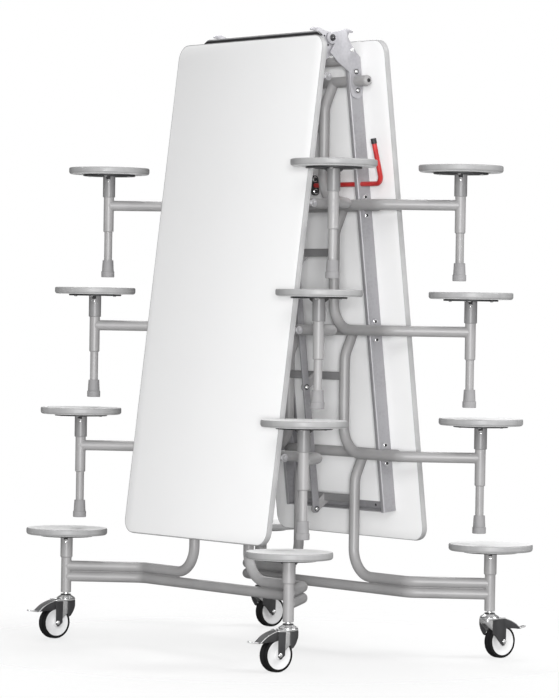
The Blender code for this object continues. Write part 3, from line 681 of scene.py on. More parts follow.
def leaf_matrix(half):
    """From along the leaf, across it and out of its face to the folded table."""
    along = Vector((math.sin(LEAN), 0.0, -math.cos(LEAN)))
    out = Vector((math.cos(LEAN), 0.0, math.sin(LEAN)))
    matrix = Matrix((along, Vector(FAR), out)).transposed().to_4x4()
    matrix.translation = JOINT["centre_hinge"]["pos_m"]
    return TURN[half] @ matrix


def row_joint(half, row):
    if row < 4:
        return f"stool_pivot_{half}{row}"
    return "fold" if half == "a" else "base_pivot_b"


def row_matrix(half, row):
    """From a stool frame's pivot to its place in the folded table."""
    return Matrix.Translation(JOINT[row_joint(half, row)]["pos_m"]) @ TURN[half]


def stool_place(side):
    """From the axis of a post to its place in the stool frame."""
    return Matrix.Translation((STOOL_OUT, side * STOOL_Y, 0.0))


def weld(start, way, main, axis, main_radius):
    """The closed line where a tube runs out of a main tube."""
    way = Vector(way).normalized()
    axis = Vector(axis)
    main = Vector(main)
    side = way.cross(axis).normalized()
    other = way.cross(side)
    radius = TUBE - 0.0002
    reach = way - way.dot(axis) * axis
    line = []
    for i in range(BEAD_STEPS):
        turn = 2 * math.pi * i / BEAD_STEPS
        rim = Vector(start) + radius * (math.cos(turn) * side + math.sin(turn) * other) - main
        flat = rim - rim.dot(axis) * axis
        a = reach.dot(reach)
        b = flat.dot(reach)
        c = flat.dot(flat) - main_radius * main_radius
        run = (-b + math.sqrt(max(0.0, b * b - a * c))) / a
        line.append(main + rim + run * way)
    return line


def arm_corners(side):
    return [
        Vector((0.0, side * RISER_Y, 0.0)),
        Vector((-RISER_BACK, side * RISER_Y, -JOG_DROP)),
        Vector((-RISER_BACK, side * RISER_Y, -ARM_DROP)),
        Vector((-RISER_BACK, side * KINK_Y, -ARM_DROP)),
        Vector((STOOL_OUT, side * STOOL_Y, -ARM_DROP)),
    ]


def post(side, has_leg):
    """Collar, post and leg below the seat plate, with the rolled ends of the tubes."""
    points = [(COLLAR_RADIUS, PLATE_LOW), (COLLAR_RADIUS, COLLAR_LOW + 0.004), (POST_RADIUS, COLLAR_LOW)]
    if has_leg:
        step = POST_BOTTOM - PIVOT_HEIGHT
        points += [(POST_RADIUS, step + 0.0025), (LEG_RADIUS + 0.0012, step), (LEG_RADIUS, step),
                   (LEG_RADIUS, LEG_BOTTOM - PIVOT_HEIGHT)]
    else:
        bottom = CASTER_HEIGHT - PIVOT_HEIGHT
        points += [(POST_RADIUS, bottom + 0.002), (POST_RADIUS - 0.0015, bottom)]
    return solid(points, 0.0008, POST_STEPS, stool_place(side))


def seat_shadow_sleeve(side):
    """Darker sleeve that the post carries under the seat plate: a thin shell over the collar whose darker
    coat is painted shadow of the seat.
    """
    wide = COLLAR_RADIUS + 0.0003
    low = COLLAR_LOW + 0.0015
    points = [(COLLAR_RADIUS - 0.002, PLATE_LOW), (wide, PLATE_LOW), (wide, low + 0.001),
              (wide - 0.0008, low), (POST_RADIUS - 0.001, low)]
    return turned(points, POST_STEPS, stool_place(side), True)


def seat_ears(side):
    """Two small ears of the seat bracket, across the arm, under the seat plate, near-black partly as painted
    shade under the seat.
    """
    along = Vector((STOOL_OUT + RISER_BACK, side * (STOOL_Y - KINK_Y), 0.0)).normalized()
    across = Vector((-along.y, along.x, 0.0))
    centre = Vector((STOOL_OUT, side * STOOL_Y, 0.0))
    root = COLLAR_RADIUS - 0.003
    shape = outline([(root, PLATE_LOW), (COLLAR_RADIUS + 0.0085, PLATE_LOW),
                     (COLLAR_RADIUS + 0.0075, PLATE_LOW - 0.004), (root, PLATE_LOW - 0.012)], 0.001)
    parts = []
    rivets = []
    for out in (-across, across):
        matrix = Matrix((out, Vector(UP), out.cross(Vector(UP)))).transposed().to_4x4()
        matrix.translation = centre
        parts.append((plate(shape, 0.012, matrix), PEDAL))
        rivets.append((centre + out * (COLLAR_RADIUS - 0.0002) + Vector(UP) * (PLATE_LOW - 0.017), out))
    return parts + [fasteners(RIVET, 0.0034, rivets, BRIGHT)]


def seat_plate(side):
    """Round steel plate under the seat with four screws, near-black partly as painted shade under the seat.
    """
    pad = PLATE_TOP + SEAT_PAD
    rim = PLATE_RADIUS - 0.001
    profile = [(rim, pad), (PLATE_RADIUS, pad - 0.0008), (PLATE_RADIUS, PLATE_LOW + 0.0006), (rim, PLATE_LOW)]
    spots = arc((STOOL_OUT, side * STOOL_Y), SCREW_CIRCLE, range(45, 360, 90))
    screws = [((x, y, PLATE_LOW), DOWN) for x, y in spots]
    return [(solid(profile, 0.0, 56, stool_place(side)), PEDAL), fasteners(PAN_SCREW, 0.0055, screws, BRIGHT)]


def tube_plugs():
    """Plugs in the ends of the pivot tube, and the axle bolt that stands out of the right end."""
    end = PIVOT_LENGTH / 2
    skirt = TUBE + 0.0002
    profile = [(0.0062, -0.0012), (0.0070, 0.0004), (0.0100, 0.0), (0.0148, -0.0045), (skirt, -0.0098),
               (skirt, -0.0120)]
    parts = []
    screws = []
    for side in (-1, 1):
        turn = Matrix.Translation((0.0, side * end, 0.0)) @ Matrix.Rotation(-side * math.pi / 2, 4, "X")
        parts.append((solid(profile, [0.0, 0.0004, 0.002, 0.004, 0.004, 0.0], 32, turn), POWDER))
        screws.append(((0.0, side * (end - 0.0012), 0.0), (0.0, side, 0.0)))
    parts.append(fasteners(PAN_SCREW, 0.0060, screws, BLACK))
    parts.append(tubes([straight(end - 0.002, end + 0.046)], 0.0085, BRIGHT))
    return parts + on_axis((
        (WASHER, 0.0122, end + 0.0440, FAR, ZINC),
        (WASHER, 0.0092, end + 0.0458, FAR, CAP),
        (HEX_BOLT, 0.0062, end + 0.0470, FAR, ZINC),
    ))


def link_bracket():
    """The gusset on the cross bar for the tie bar, with its pin, washers and pin heads."""
    bar = Vector((-RISER_BACK, -CROSS_DROP))
    pin = Vector((PIN.x, PIN.z))
    half = CROSS_BAR / 2 - 0.0012
    slope = math.degrees(math.atan2(bar.y - pin.y, bar.x - pin.x))
    nose = arc(pin, BRACKET_NOSE, [slope + 90 + 15 * i for i in range(13)])
    shape = nose + [(bar.x + half, bar.y - half), (bar.x + half, bar.y + half), (bar.x - half, bar.y + half)]
    shank = solid([(0.0050, 0.0126), (0.0050, -0.0060)], 0.0006, 24, Matrix.Translation(PIN) @ UPRIGHT)
    near = PIN + Vector(FAR) * (TIE_Y - TIE_THICK / 2 - 0.0002)
    far = PIN + Vector(FAR) * (BRACKET / 2)
    parts = [(standing(shape, BRACKET, 0.0, 0.0008), POWDER), (shank, BRIGHT)]
    return parts + bolted([(near, NEAR), (far, FAR)], 0.0088, PEDAL, RIVET, 0.0062, BRIGHT, 0.0012)


def cross_bar():
    """Square tube between the two risers, with round edges."""
    half = CROSS_BAR / 2
    reach = RISER_Y - 0.002
    ring = round_rectangle((-half, -half), (half, half), 0.003)
    return loft([[(x - RISER_BACK, y, z - CROSS_DROP) for x, z in ring] for y in (-reach, reach)])


def stool_frame(is_base):
    """One welded frame round its pivot: tubes, welds, cross bar, posts and the link's bracket."""
    reach = PIVOT_LENGTH / 2 - 0.010
    runs = [straight(-reach, reach)]
    beads = []
    parts = []
    for side in (-1, 1):
        corners = arm_corners(side)
        runs.append(path(corners, ARM_BENDS))
        end = corners[-1]
        inward = corners[-2] - end
        beads.append(weld(corners[0], corners[1] - corners[0], (0.0, 0.0, 0.0), FAR, TUBE))
        beads.append(weld(end, inward, end, UP, POST_RADIUS))
        if is_base:
            low = end + Vector(DOWN) * LOWER_DROP
            beads.append(weld(low, inward, low, UP, POST_RADIUS))
        parts.append((post(side, not is_base), POWDER))
        parts += seat_plate(side) + seat_ears(side)
        if not is_base:
            # the darker shell over the collar is painted shadow of the seat
            parts.append((seat_shadow_sleeve(side), SEAT_SHADOW_COAT))
    if is_base:
        drop = -ARM_DROP - LOWER_DROP
        runs.append(path([(STOOL_OUT, -STOOL_Y, drop), (-RISER_BACK, -KINK_Y, drop),
                          (-RISER_BACK, KINK_Y, drop), (STOOL_OUT, STOOL_Y, drop)], [KINK_BEND] * 2))
        seam = drop + LOWER_DROP / 2
        seams = [path([(STOOL_OUT, side * STOOL_Y, seam), (-RISER_BACK, side * KINK_Y, seam),
                       (-RISER_BACK, side * (RISER_Y + 0.080), seam)], [KINK_BEND]) for side in (-1, 1)]
        parts.append(tubes(seams, 0.0036, POWDER, 10))
    parts.append(tubes(runs, TUBE, POWDER))
    parts.append(tubes(beads, BEAD, POWDER, 8, True))
    # the cross bar takes the darker copy of the powder coat as painted shade
    parts.append((cross_bar(), BAR))
    return parts + tube_plugs() + link_bracket()


def seat_piece(name, body, node, matrix):
    """Round laminated seat: white top and underside, grey rounded rim."""
    top = SEAT_TOP - PIVOT_HEIGHT
    low = top - SEAT_THICK + SEAT_PAD
    inset = SEAT_RADIUS - 0.010
    middle = SEAT_RADIUS - 0.060
    rim = soft_profile([(inset, top), (SEAT_RADIUS, top), (SEAT_RADIUS, low), (inset, low)],
                       [SEAT_EASE, SEAT_ROUND])
    face = [(0.0, top), (middle, top), (inset, top)]
    under = [(inset, low), (middle, low), (0.0, low)]
    whole = turned(face + rim[1:-1] + under, SEAT_STEPS)
    limit = SEAT_RADIUS - SEAT_EASE * 0.75 + 0.0001
    reach = [math.hypot(*vertex.co.xy) for vertex in whole.vertices]
    edge = [int(max(reach[v] for v in polygon.vertices) > limit) for polygon in whole.polygons]
    whole.polygons.foreach_set("material_index", edge)
    for material in (SEAT_WHITE, RIM):
        whole.materials.append(material)
    finished(name, whole, body, matrix, [node])


def foot():
    """Rubber foot on the leg, with a wide flange and a chamfered sole."""
    points = [(0.0128, 0.0120), (0.0128, FOOT_HEIGHT), (0.0168, FOOT_HEIGHT), (0.0186, 0.0195),
              (0.0205, 0.0185), (0.0205, 0.0015), (0.0190, 0.0), (0.0, 0.0), (0.0, 0.0120)]
    profile = soft_profile([(radius, height - PIVOT_HEIGHT) for radius, height in points],
                           [0.0003, 0.0012, 0.0009, 0.0006, 0.0009, 0.0004, 0.0])
    return turned(profile, POST_STEPS, None, True)


def build_stools():
    frames = {is_base: stool_frame(is_base) for is_base in (False, True)}
    rubber = [(foot(), FOOT)]
    for half in "ab":
        for row in (1, 2, 3, 4):
            is_base = row == 4
            body = f"base_frame_{half}" if is_base else f"stools_{half}{row}"
            node = f"base_frame_{half}" if is_base else f"stool_frame_{half}{row}"
            matrix = row_matrix(half, row)
            piece(f"{node}_welded", body, frames[is_base], matrix, [node])
            for side, word in SIDES:
                place = matrix @ stool_place(side)
                label = f"{half}{row}_{word}"
                seat_piece(f"seat_{label}_top", body, f"seat_{label}", place)
                if not is_base:
                    piece(f"foot_{label}_rubber", body, rubber, place, [f"foot_{label}"])


def leaf_outline(inset):
    low = (HINGE_GAP + inset, -LEAF_WIDTH / 2 + inset)
    high = (HINGE_GAP + LEAF_LENGTH - inset, LEAF_WIDTH / 2 - inset)
    return round_rectangle(low, high, CORNER - inset)


def edge_band():
    """Plastic band round the board, softly crowned, with a small return at both faces."""
    inner = [Vector(spot) for spot in leaf_outline(EDGE_BAND)]
    centre = Vector((HINGE_GAP + LEAF_LENGTH / 2, 0.0))
    half = BOARD / 2
    sections = []
    for i, spot in enumerate(inner):
        run = (inner[(i + 1) % len(inner)] - inner[i - 1]).normalized()
        out = Vector((run.y, -run.x))
        if out.dot(spot - centre) < 0:
            out = -out
        section = [(*spot, BOARD_MIDDLE + half)]
        for step in range(CROWN_STEPS + 1):
            level = 1 - 2 * step / CROWN_STEPS
            reach = spot + out * (EDGE_BAND - EDGE_CROWN * level * level)
            section.append((*reach, BOARD_MIDDLE + half * level))
        section.append((*spot, BOARD_MIDDLE - half))
        sections.append(section)
    return loft(sections, True)


def closing_lip(first):
    """Dark rubber lip on the upper edge: its top part paler as a painted highlight, a groove along its face
    and slanted ends.
    """
    half = LIP_HEIGHT / 2
    inner = HINGE_GAP + 0.0012
    outer = HINGE_GAP - LIP_PROUD
    seam = outer + 0.0050
    low = mirrored([(inner, half), (seam, half)])
    edge = [(seam, half - 0.0003), (outer + 0.002, half - 0.0003), (outer, half - 0.0025), (outer, 0.0015)]
    top = edge + [(outer + 0.0015, 0.0)] + mirrored(edge)[len(edge):]
    parts = []
    # the outer part along the top takes the paler painted highlight
    for ring, finish in ((low, LIP), (top, LIP_HIGHLIGHT)):
        sections = []
        for y, slant in ((first, LIP_SLANT), (LIP_RIGHT, -LIP_SLANT)):
            sections.append([(u, y + slant * (inner - u), BOARD_MIDDLE + w) for u, w in ring])
        parts.append((loft(sections), finish))
    return parts


def rail(side):
    """Folded channel under the leaf, web outside, with its bends rounded."""
    sheet = RAIL_SHEET
    low = -RAIL_HEIGHT
    ring = outline([
        (0.0, 0.0), (0.0, low), (RAIL_RETURN, low), (RAIL_RETURN, low + sheet), (sheet, low + sheet),
        (sheet, -sheet), (RAIL_FLANGE, -sheet), (RAIL_FLANGE, 0.0),
    ], [RAIL_BEND, RAIL_BEND, SHEET_EDGE, SHEET_EDGE, INNER_BEND, INNER_BEND, SHEET_EDGE, SHEET_EDGE])
    ends = (RAIL_START, RAIL_END)
    return loft([[(u, side * (RAIL_Y - across), RAIL_TOP + up) for across, up in ring] for u in ends])


def end_member():
    """Folded angle across the far end of the rails: flange on the board, leg at the outer end."""
    corner = RAIL_END - TOUCH
    sheet = RAIL_SHEET
    ring = outline([(0.0, 0.0), (-END_FLANGE, 0.0), (-END_FLANGE, -sheet), (-sheet, -sheet),
                    (-sheet, -END_LEG), (0.0, -END_LEG)],
                   [RAIL_BEND, SHEET_EDGE, SHEET_EDGE, INNER_BEND, SHEET_EDGE, SHEET_EDGE])
    reach = RAIL_Y - sheet
    return loft([[(corner + across, y, RAIL_TOP + up) for across, up in ring] for y in (-reach, reach)])


def hinge_outline(notched):
    """Boss round the bolt, stop hook, shoulder and foot along the rail; one plate has a notched boss."""
    low = UNDERSIDE - RAIL_HEIGHT
    high = UNDERSIDE - RAIL_SHEET
    end = ROW_OUT[0] + 0.030
    boss = arc((0.0, 0.0), BOSS_RADIUS, range(20 if notched else -70, -151, -10))
    hook = soft_profile([
        (-0.0165, -0.0060), (-0.0185, 0.030), (-0.0235, 0.053), (-0.0195, 0.072), (-0.0130, 0.0815),
        (-0.0090, 0.0785), (-0.0100, 0.066), (-0.0005, 0.0585), (0.0225, 0.0685), (0.0535, 0.0900),
        (0.0660, high), (0.0800, high),
    ], [0.030, 0.014, 0.008, 0.0015, 0.0015, 0.004, 0.008, 0.030, 0.012, 0.004])
    foot_end = arc((end, (low + high) / 2), (high - low) / 2, range(90, -91, -15))
    throat = soft_profile([(end, low), (0.1080, low), (0.0731, 0.0123), (0.0425, -0.0134)], [0.012, 0.080])
    return boss + hook + foot_end + throat[1:]


def pivot_flanges():
    """Oval bearing flange on the outer face of each rail at every pivot, with two bolts."""
    shape = outline(FLANGE, FLANGE_BENDS)
    parts = []
    first = []
    others = []
    for side in (-1, 1):
        for row, out in enumerate(ROW_OUT):
            on_hinge = row == 0 and side < 0
            face = RAIL_Y + (HINGE_PLATE - HINGE_SINK + TOUCH if on_hinge else 0.0)
            ring = [(out + along, PIVOT_UP + up) for along, up in shape]
            parts.append((standing(ring, 0.0014, side * (face + 0.0008), 0.0003), ZINC))
            spots = others if row else first
            for step in (-FLANGE_BOLT, FLANGE_BOLT):
                spots.append(((out + step, side * (face + 0.0015), PIVOT_UP), (0.0, side, 0.0)))
    parts += bolted(others, 0.0066, BRIGHT, PAN_SCREW, 0.0050, BLACK)
    return parts + bolted(first, 0.0080, PEDAL, RIVET, 0.0056, BRIGHT)


def underframe():
    """Rails, end member, hinge plates and hinge tube of one leaf."""
    parts = [(rail(-1), ZINC), (rail(1), ZINC), (end_member(), ZINC)]
    for y in (HINGE_OUTER, HINGE_INNER):
        parts.append((standing(hinge_outline(y < 0), HINGE_PLATE, y, HINGE_EDGE), HINGE_ZINC))
    parts.append(tubes([straight(HINGE_OUTER, HINGE_INNER, *HINGE_TUBE)], HINGE_TUBE_RADIUS, POWDER, 28))
    ring = arc(HINGE_TUBE, HINGE_TUBE_RADIUS, [360 * i / 32 for i in range(32)])
    faces = (HINGE_OUTER + HINGE_PLATE / 2, HINGE_INNER - HINGE_PLATE / 2)
    parts.append(tubes([[(u, y, w) for u, w in ring] for y in faces], 0.0016, ZINC, 8, True))
    return parts + pivot_flanges()


def hinge_bolt():
    """Black pivot bolt at the left side, with washers and a nut inside."""
    outside = HINGE_OUTER - HINGE_PLATE / 2 - TOUCH
    inside = HINGE_PLATE / 2 - HINGE_INNER + TOUCH
    shank = tubes([straight(outside - 0.002, inside + 0.008)], 0.0060, BLACK)
    return [shank] + on_axis((
        (WASHER, 0.0105, outside, NEAR, BLACK),
        (WASHER, 0.0105, inside, FAR, BLACK),
        (PAN_SCREW, 0.0092, outside - 0.0015, NEAR, BLACK),
        (HEX_BOLT, 0.0088, inside + 0.0016, FAR, BLACK),
        (RIVET, 0.0030, outside - 0.0032, NEAR, BRIGHT),
    ))


def leaf_screws():
    """Stud and rivets on the hinge plates, and screws through the flanges into the board."""
    stud = [((0.0424, HINGE_OUTER - HINGE_PLATE / 2, 0.072), NEAR)]
    inner = HINGE_INNER + HINGE_PLATE / 2
    rivets = [((0.0236, inner, 0.0085), FAR), ((-0.0015, inner, 0.0265), FAR)]
    low = RAIL_TOP - RAIL_SHEET
    across = RAIL_Y - 0.018
    bright = [((HINGE_GAP + along, y, low), DOWN) for y in (-across, across) for along in BOARD_SCREWS]
    dark = [((RAIL_END - 0.013, y, low), DOWN) for y in (-0.150, 0.150)]
    return [fasteners(RIVET, 0.0066, stud, BRIGHT), fasteners(RIVET, 0.0029, rivets, BLACK),
            fasteners(PAN_SCREW, 0.0046, bright, BRIGHT), fasteners(PAN_SCREW, 0.0044, dark, BLACK)]


def tie_bar():
    """Flat bar of the parallel link, with round ends."""
    end = arc((0.0, 0.0), TIE_WIDTH / 2, range(-90, 91, 12))
    far = [(-3 * ROW_STEP - along, -up) for along, up in end]
    return standing(end + far, TIE_THICK, TIE_Y, 0.0009)


def lock_rod():
    """Red coated rod with its crank, and black caps on the handle and the far end."""
    tip = (-HANDLE * math.cos(HANDLE_TILT), CRANK_Y, -HANDLE * math.sin(HANDLE_TILT))
    run = path([(0.0, RAIL_Y + 0.016, 0.0), (0.0, CRANK_Y, 0.0), tip], [0.026])
    way = (run[-1] - run[-2]).normalized()
    cap = [run[-1] - way * 0.015, run[-1] + way * 0.0004]
    end = straight(RAIL_Y + 0.0165, RAIL_Y + 0.006)
    return [tubes([run], ROD_RADIUS, RED, 28), tubes([cap, end], ROD_RADIUS + 0.0011, BLACK, 28)]


def lock_latch():
    """Black latch plate on the rod with its two clamp bolts."""
    shape = round_rectangle((-0.031, -0.0135), (0.031, 0.0135), 0.012)
    spots = [((along, LATCH_Y - LATCH_THICK / 2, 0.0), NEAR) for along in (-0.019, 0.019)]
    latch = [(standing(shape, LATCH_THICK, LATCH_Y, 0.0012), BLACK)]
    return latch + bolted(spots, 0.0085, BRIGHT, HEX_BOLT, 0.0062, BLACK, 0.0013)


def build_leaves():
    middle = Matrix.Translation((0.0, 0.0, BOARD_MIDDLE))
    board = [(plate(leaf_outline(EDGE_BAND + TOUCH), BOARD, middle, 0.0004), LAMINATE)]
    band = [(edge_band(), BAND)]
    steel = underframe()
    bolt = hinge_bolt()
    screws = leaf_screws()
    bar = [(tie_bar(), ZINC)]
    for half in "ab":
        matrix = leaf_matrix(half)
        for name, parts, nodes, slot in (
            (f"board_{half}_laminate", board, [f"board_{half}"], "white_laminate"),
            (f"edge_band_{half}", band, [f"edging_{half}"], "edging_plastic"),
            (f"closing_lip_{half}", closing_lip(-LIP_LEFT[half]), [], "edging_plastic"),
            (f"underframe_{half}_folded", steel, [f"underframe_{half}"], "plated_steel"),
            (f"hinge_bolt_{half}_set", bolt, [f"hinge_bolt_{half}"], "black_steel"),
            (f"leaf_screws_{half}", screws, [], "plated_steel"),
        ):
            piece(name, f"leaf_{half}", parts, matrix, nodes)
        tie = f"tie_bar_{half}"
        link = Matrix.Translation(JOINT[f"tie_bar_pivot_{half}"]["pos_m"]) @ TURN[half]
        link = link @ Matrix.Rotation(math.pi / 2 - LEAN, 4, "Y")
        piece(f"{tie}_flat", tie, bar, link, [tie])
    at_rod = leaf_matrix("b") @ Matrix.Translation(ROD_AT)
    piece("lock_rod_coated", "lock", lock_rod(), at_rod, ["lock_rod"])
    piece("lock_latch_set", "lock", lock_latch(), at_rod, ["lock_latch"])


def share(value):
    """A value kept between 0 and 1."""
    return min(1.0, max(0.0, value))


def fork_leg(side):
    """Pressed fork leg whose front edge turns inward, wide at the crown and narrow at the axle."""
    sections = []
    for step in range(FORK_STEPS + 1):
        z = FORK_TOP - step * (FORK_TOP - FORK_LOW) / FORK_STEPS
        front = FORK_FRONT + 0.0565 * share((CROWN_TOP - 0.016 - z) / 0.0537)
        back = 0.0465
        if z < FORK_ROUND:
            shrink = math.sqrt(max(0.0, 1 - ((FORK_ROUND - z) / 0.011) ** 2))
            front = TRAIL - 0.0115 * shrink
            back = TRAIL + 0.0045 * shrink
        radius = 0.0030 + 0.0085 * share((z - 0.082) / 0.020)
        centre = (front + radius, FORK_OUTER - radius)
        section = [(back, FORK_OUTER)] + arc(centre, radius, range(90, 181, 15))
        section += arc(centre, radius - FORK_SHEET, range(180, 89, -15)) + [(back, FORK_INNER)]
        sections.append([(x, side * y, z) for x, y in section])
    return loft(sections)


def swivel_head():
    """Stem, cone and lower race of the swivel, with the dark grooves between them."""
    parts = []
    for points, radius, steps, finish in (
        ([(0.0080, 0.1417), (0.0080, 0.1350)], 0.0004, 32, BRIGHT),
        ([(0.0152, 0.1374), (0.0163, 0.1360), (0.0152, 0.1342)], 0.0006, 40, PEDAL),
        ([(0.0154, 0.1346), (0.0278, 0.1266), (0.0288, 0.1248)], 0.0010, 40, BRIGHT),
        ([(0.0280, 0.1250), (0.0280, 0.1236)], 0.0, 40, PEDAL),
        ([(0.0286, 0.1238), (0.0293, 0.1226), (0.0290, 0.1192), (0.0262, 0.1165)], 0.0010, 40, BRIGHT),
    ):
        parts.append((solid(points, radius, steps), finish))
    return parts


def caster_fork():
    """Swivel head, pressed fork bent round the front, dark sheets on its sides and front that are painted
    shade on the bright metal, and axle nuts.
    """
    level = Matrix.Translation((0.0, 0.0, CROWN_TOP - FORK_SHEET / 2))
    shape = round_rectangle((-0.0262, -0.0198), (0.030, 0.0198), [0.003, 0.010, 0.010, 0.003])
    crown = plate(shape, FORK_SHEET, level, 0.0006)
    facing = Matrix.Rotation(math.pi / 2, 4, "Z") @ UPRIGHT
    facing = Matrix.Translation((FORK_FRONT + FORK_SHEET / 2, 0.0, 0.0)) @ facing
    shape = round_rectangle((-0.0092, CROWN_TOP - 0.0170), (0.0092, FORK_TOP), 0.0006)
    front = plate(shape, FORK_SHEET, facing, 0.0004)
    parts = swivel_head() + [(crown, BRIGHT), (front, BRIGHT)]
    parts += [(fork_leg(side), BRIGHT) for side in (-1, 1)]
    # dark sheets on the fork's sides and front: painted shade on the bright metal
    for corners, radius, thick, y, edge in (
        (NEAR_SHADE_SHEET, 0.0025, 0.0016, -FORK_OUTER - 0.0009, 0.0005),
        (FAR_SHADE_SHEET, 0.0025, 0.0016, FORK_OUTER + 0.0009, 0.0005),
        (FRONT_SHADE_SHEET, 0.0030, 0.0030, FORK_OUTER + 0.0016, 0.0008),
    ):
        parts.append((standing(outline(corners, radius), thick, y, edge), PEDAL))
    reach = FORK_OUTER + 0.003
    parts.append(tubes([straight(-reach, reach, TRAIL, WHEEL_RADIUS)], 0.0045, BRIGHT, 20))
    nuts = [((TRAIL, side * (FORK_OUTER + 0.0017), WHEEL_RADIUS), (0.0, side, 0.0)) for side in (-1, 1)]
    return parts + bolted(nuts, 0.0064, BRIGHT, HEX_BOLT, 0.0052, BRIGHT)


def wheel():
    """Black tyre with a grooved tread, and a pale dished centre that knows its distance from the axle."""
    tread = [(0.0415, WHEEL_HALF - 0.0006), (0.0455, WHEEL_HALF), (0.0485, WHEEL_HALF - 0.0010),
             (0.0497, 0.0110), (WHEEL_RADIUS, 0.0070), (WHEEL_RADIUS, 0.0034), (0.0490, 0.0028),
             (0.0490, 0.0018), (WHEEL_RADIUS, 0.0012)]
    tyre = mirrored(tread) + [(0.0400, -0.0135), (0.0400, 0.0135)]
    side = [(0.0056, HUB_HALF), (0.0105, HUB_HALF), (0.0130, HUB_HALF - 0.0012), (0.0140, 0.0122),
            (0.0180, 0.0112), (0.0330, 0.0118), (0.0365, 0.0138), (0.0410, 0.0147), (0.0414, 0.0140)]
    disc = turned(mirrored(side), WHEEL_STEPS, UPRIGHT, True)
    reach = disc.attributes.new("reach", "FLOAT", "POINT")
    reach.data.foreach_set("value", [math.hypot(v.co.x, v.co.z) for v in disc.vertices])
    return [(turned(tyre, WHEEL_STEPS, UPRIGHT, True), TYRE)], [(disc, CENTRE)]


def caster_brake():
    """Foot pedal round its pin: arched wing with its top painted paler than its walls as painted light, thin
    bright lines along its edges as painted highlights, dark walls, stub pins and a bright tip.
    """
    crest = path([(0.0345, 0.0, 0.1198), (0.0450, 0.0, 0.1196), (0.0545, 0.0, 0.1180), (0.0670, 0.0, 0.1140),
                  (0.0800, 0.0, 0.1085), (0.0930, 0.0, 0.1012), (0.1105, 0.0, 0.0872)], [0.012] * 5)
    crest = [point - BRAKE_PIN for point in crest]
    sides = [Vector((0.0, y, 0.0)) for y in (-BRAKE_HALF, BRAKE_HALF)]
    sections = []
    for i, top in enumerate(crest):
        run = (crest[min(i + 1, len(crest) - 1)] - crest[max(i - 1, 0)]).normalized()
        down = Vector((run.z, 0.0, -run.x)) * 0.0024
        corners = [top + side for side in sides]
        sections.append([corners[0], corners[1], corners[1] + down, corners[0] + down])
    lower = [(0.1095, 0.0855), (0.1060, 0.0862), (0.0550, 0.0895), (0.0360, 0.0960)]
    wall = [(p.x, p.z - 0.0012) for p in crest] + [(x - BRAKE_PIN.x, z - BRAKE_PIN.z) for x, z in lower]
    # thin bright lines along the wing's edges: painted highlights
    edges = [[p + side + Vector(DOWN) * 0.0008 for p in crest] for side in sides]
    root = 0.108 - BRAKE_PIN.x
    end = 0.142 - BRAKE_PIN.x
    shape = outline([(root, -0.009), (end, -0.007), (end, 0.007), (root, 0.009)],
                    [0.001, 0.005, 0.005, 0.001])
    lift = Matrix.Translation((root, 0.0, 0.0860 - BRAKE_PIN.z)) @ Matrix.Rotation(math.radians(-9), 4, "Y")
    tip = plate(shape, 0.0042, lift @ Matrix.Translation((-root, 0.0, 0.0)), 0.0010)
    parts = [(loft(sections), WING_LIT_TOP), tubes(edges, 0.0012, BRIGHT, 10), (tip, BRIGHT),
             tubes([straight(-FORK_OUTER, FORK_OUTER)], 0.003, BRIGHT, 16)]
    reach = BRAKE_HALF - 0.0002
    return parts + [(standing(wall, 0.0012, y, 0.0003), PEDAL) for y in (-reach, reach)]


def build_casters():
    fork = caster_fork()
    tyre, disc = wheel()
    brake = caster_brake()
    for half in "ab":
        for _, word in SIDES:
            label = f"{half}_{word}"
            swivel = Vector(JOINT[f"caster_swivel_{label}"]["pos_m"])
            place = Matrix.Translation((swivel.x, swivel.y, 0.0)) @ TURN[half]
            axle = place @ Matrix.Translation((TRAIL, 0.0, WHEEL_RADIUS))
            at_pin = place @ Matrix.Translation(BRAKE_PIN)
            for name, kind, parts, matrix, replaced, slot in (
                (f"caster_fork_{label}_pressed", "fork", fork, place, True, "bright_fork"),
                (f"caster_tyre_{label}", "wheel", tyre, axle, True, "black_tyre"),
                (f"caster_centre_{label}", "wheel", disc, axle, False, "black_tyre"),
                (f"caster_brake_{label}_pedal", "brake", brake, at_pin, True, "dark_plastic"),
            ):
                body = f"caster_{kind}_{label}"
                piece(name, body, parts, matrix, [body] if replaced else [])


class Room(Finish):
    """The plain light all round, by direction."""

    def __init__(self, name):
        self.world = bpy.data.worlds.new(name)
        self.world.use_nodes = True
        self.tree = self.world.node_tree
        self.place = self.node("ShaderNodeTexCoord", {}, (), "Generated")

    def glow(self, level):
        return self.node("ShaderNodeBackground", {}, {"Color": (1.0, 1.0, 1.0, 1.0), "Strength": level})

    def either(self, factor, first, second):
        return self.node("ShaderNodeMixShader", {}, (factor, first, second))


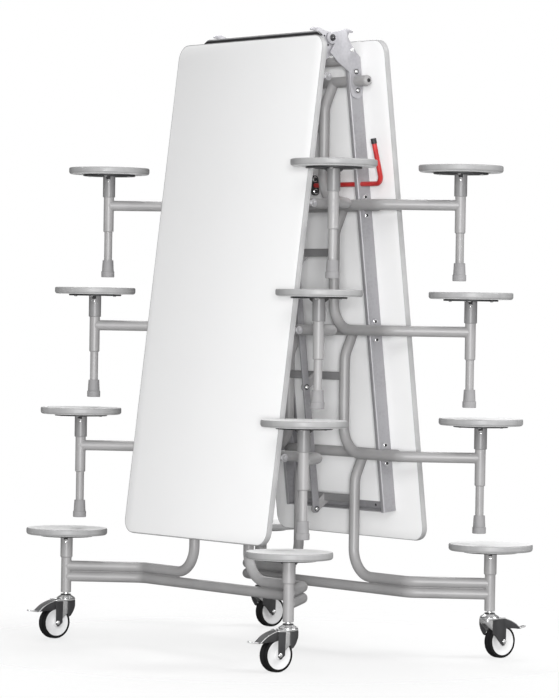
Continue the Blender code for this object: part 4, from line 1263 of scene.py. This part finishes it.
def plain_room():
    """Soft even light; bright metal mirrors a pale wall in front and a dim hall behind."""
    room = Room("plain_room")
    by_camera = room.node("ShaderNodeLightPath", {}, (), "Is Camera Ray")
    by_gloss = room.node("ShaderNodeLightPath", {}, (), "Is Glossy Ray")
    toward = room.node("ShaderNodeVectorMath", {"operation": "DOT_PRODUCT"},
                       (room.place, (-0.6, -0.8, 0.9)), "Value")
    reflected = room.either(room.between(toward, 0.02, 0.30), room.glow(0.12), room.glow(1.0))
    seen = room.either(by_gloss, room.glow(ROOM_LIGHT), reflected)
    whole = room.either(by_camera, seen, room.glow(1.0))
    room.tree.links.new(whole.socket, room.tree.nodes["World Output"].inputs["Surface"])
    return room.world


def pale_floor():
    """Wide floor that fades into the white ground and keeps a faint shadow near the table."""
    bm = bmesh.new()
    bmesh.ops.create_grid(bm, x_segments=1, y_segments=1, size=FLOOR_SIZE)
    floor = added("floor", new_mesh(bm))
    f = Finish("pale_floor", roughness=0.9)
    seen = f.node("ShaderNodeLightPath", {}, (), "Is Camera Ray")
    reach = f.node("ShaderNodeVectorMath", {"operation": "LENGTH"}, (f.place,), "Value")
    f.surface(f.mix(seen, (0.30, 0.30, 0.30), (0.95, 0.95, 0.95)))
    f.feed(f.shader.inputs["Alpha"], 1.0 - (0.72 + 0.28 * f.between(reach, 0.8, 2.0)) * seen)
    floor.data.materials.append(f.material)


def photo_camera():
    """The photograph's camera: a long lens, a little below level and turned by less than a degree."""
    camera = bpy.data.cameras.new("camera")
    camera.lens = LENS
    camera.sensor_width = 36.0
    camera.shift_x = LENS_SHIFT
    camera.clip_end = 100.0
    flat = SIGHT.normalized()
    right = Vector((flat.y, -flat.x, 0.0))
    forward = flat * math.cos(PITCH) + Vector(UP) * math.sin(PITCH)
    up = right.cross(forward)
    across = right * math.cos(ROLL) + up * math.sin(ROLL)
    upward = up * math.cos(ROLL) - right * math.sin(ROLL)
    matrix = Matrix((across, upward, -forward)).transposed().to_4x4()
    matrix.translation = EYE
    view = added("camera", camera)
    view.matrix_world = matrix
    return view


def studio():
    """Floor, plain light all round, soft lamps and the camera."""
    scene = bpy.context.scene
    pale_floor()
    scene.world = plain_room()
    for name, place, size, power in LAMPS:
        light = bpy.data.lights.new(name, "AREA")
        light.size = size
        light.energy = power
        lamp = added(name, light)
        lamp.location = place
        lamp.rotation_euler = (LAMP_AIM - Vector(place)).to_track_quat("-Z", "Y").to_euler()
    scene.camera = photo_camera()
    scene.view_settings.view_transform = "Standard"


build_stools()
build_leaves()
build_casters()
studio()
for shape in (HEX_BOLT, PAN_SCREW, WASHER, RIVET):
    bpy.data.objects.remove(shape)
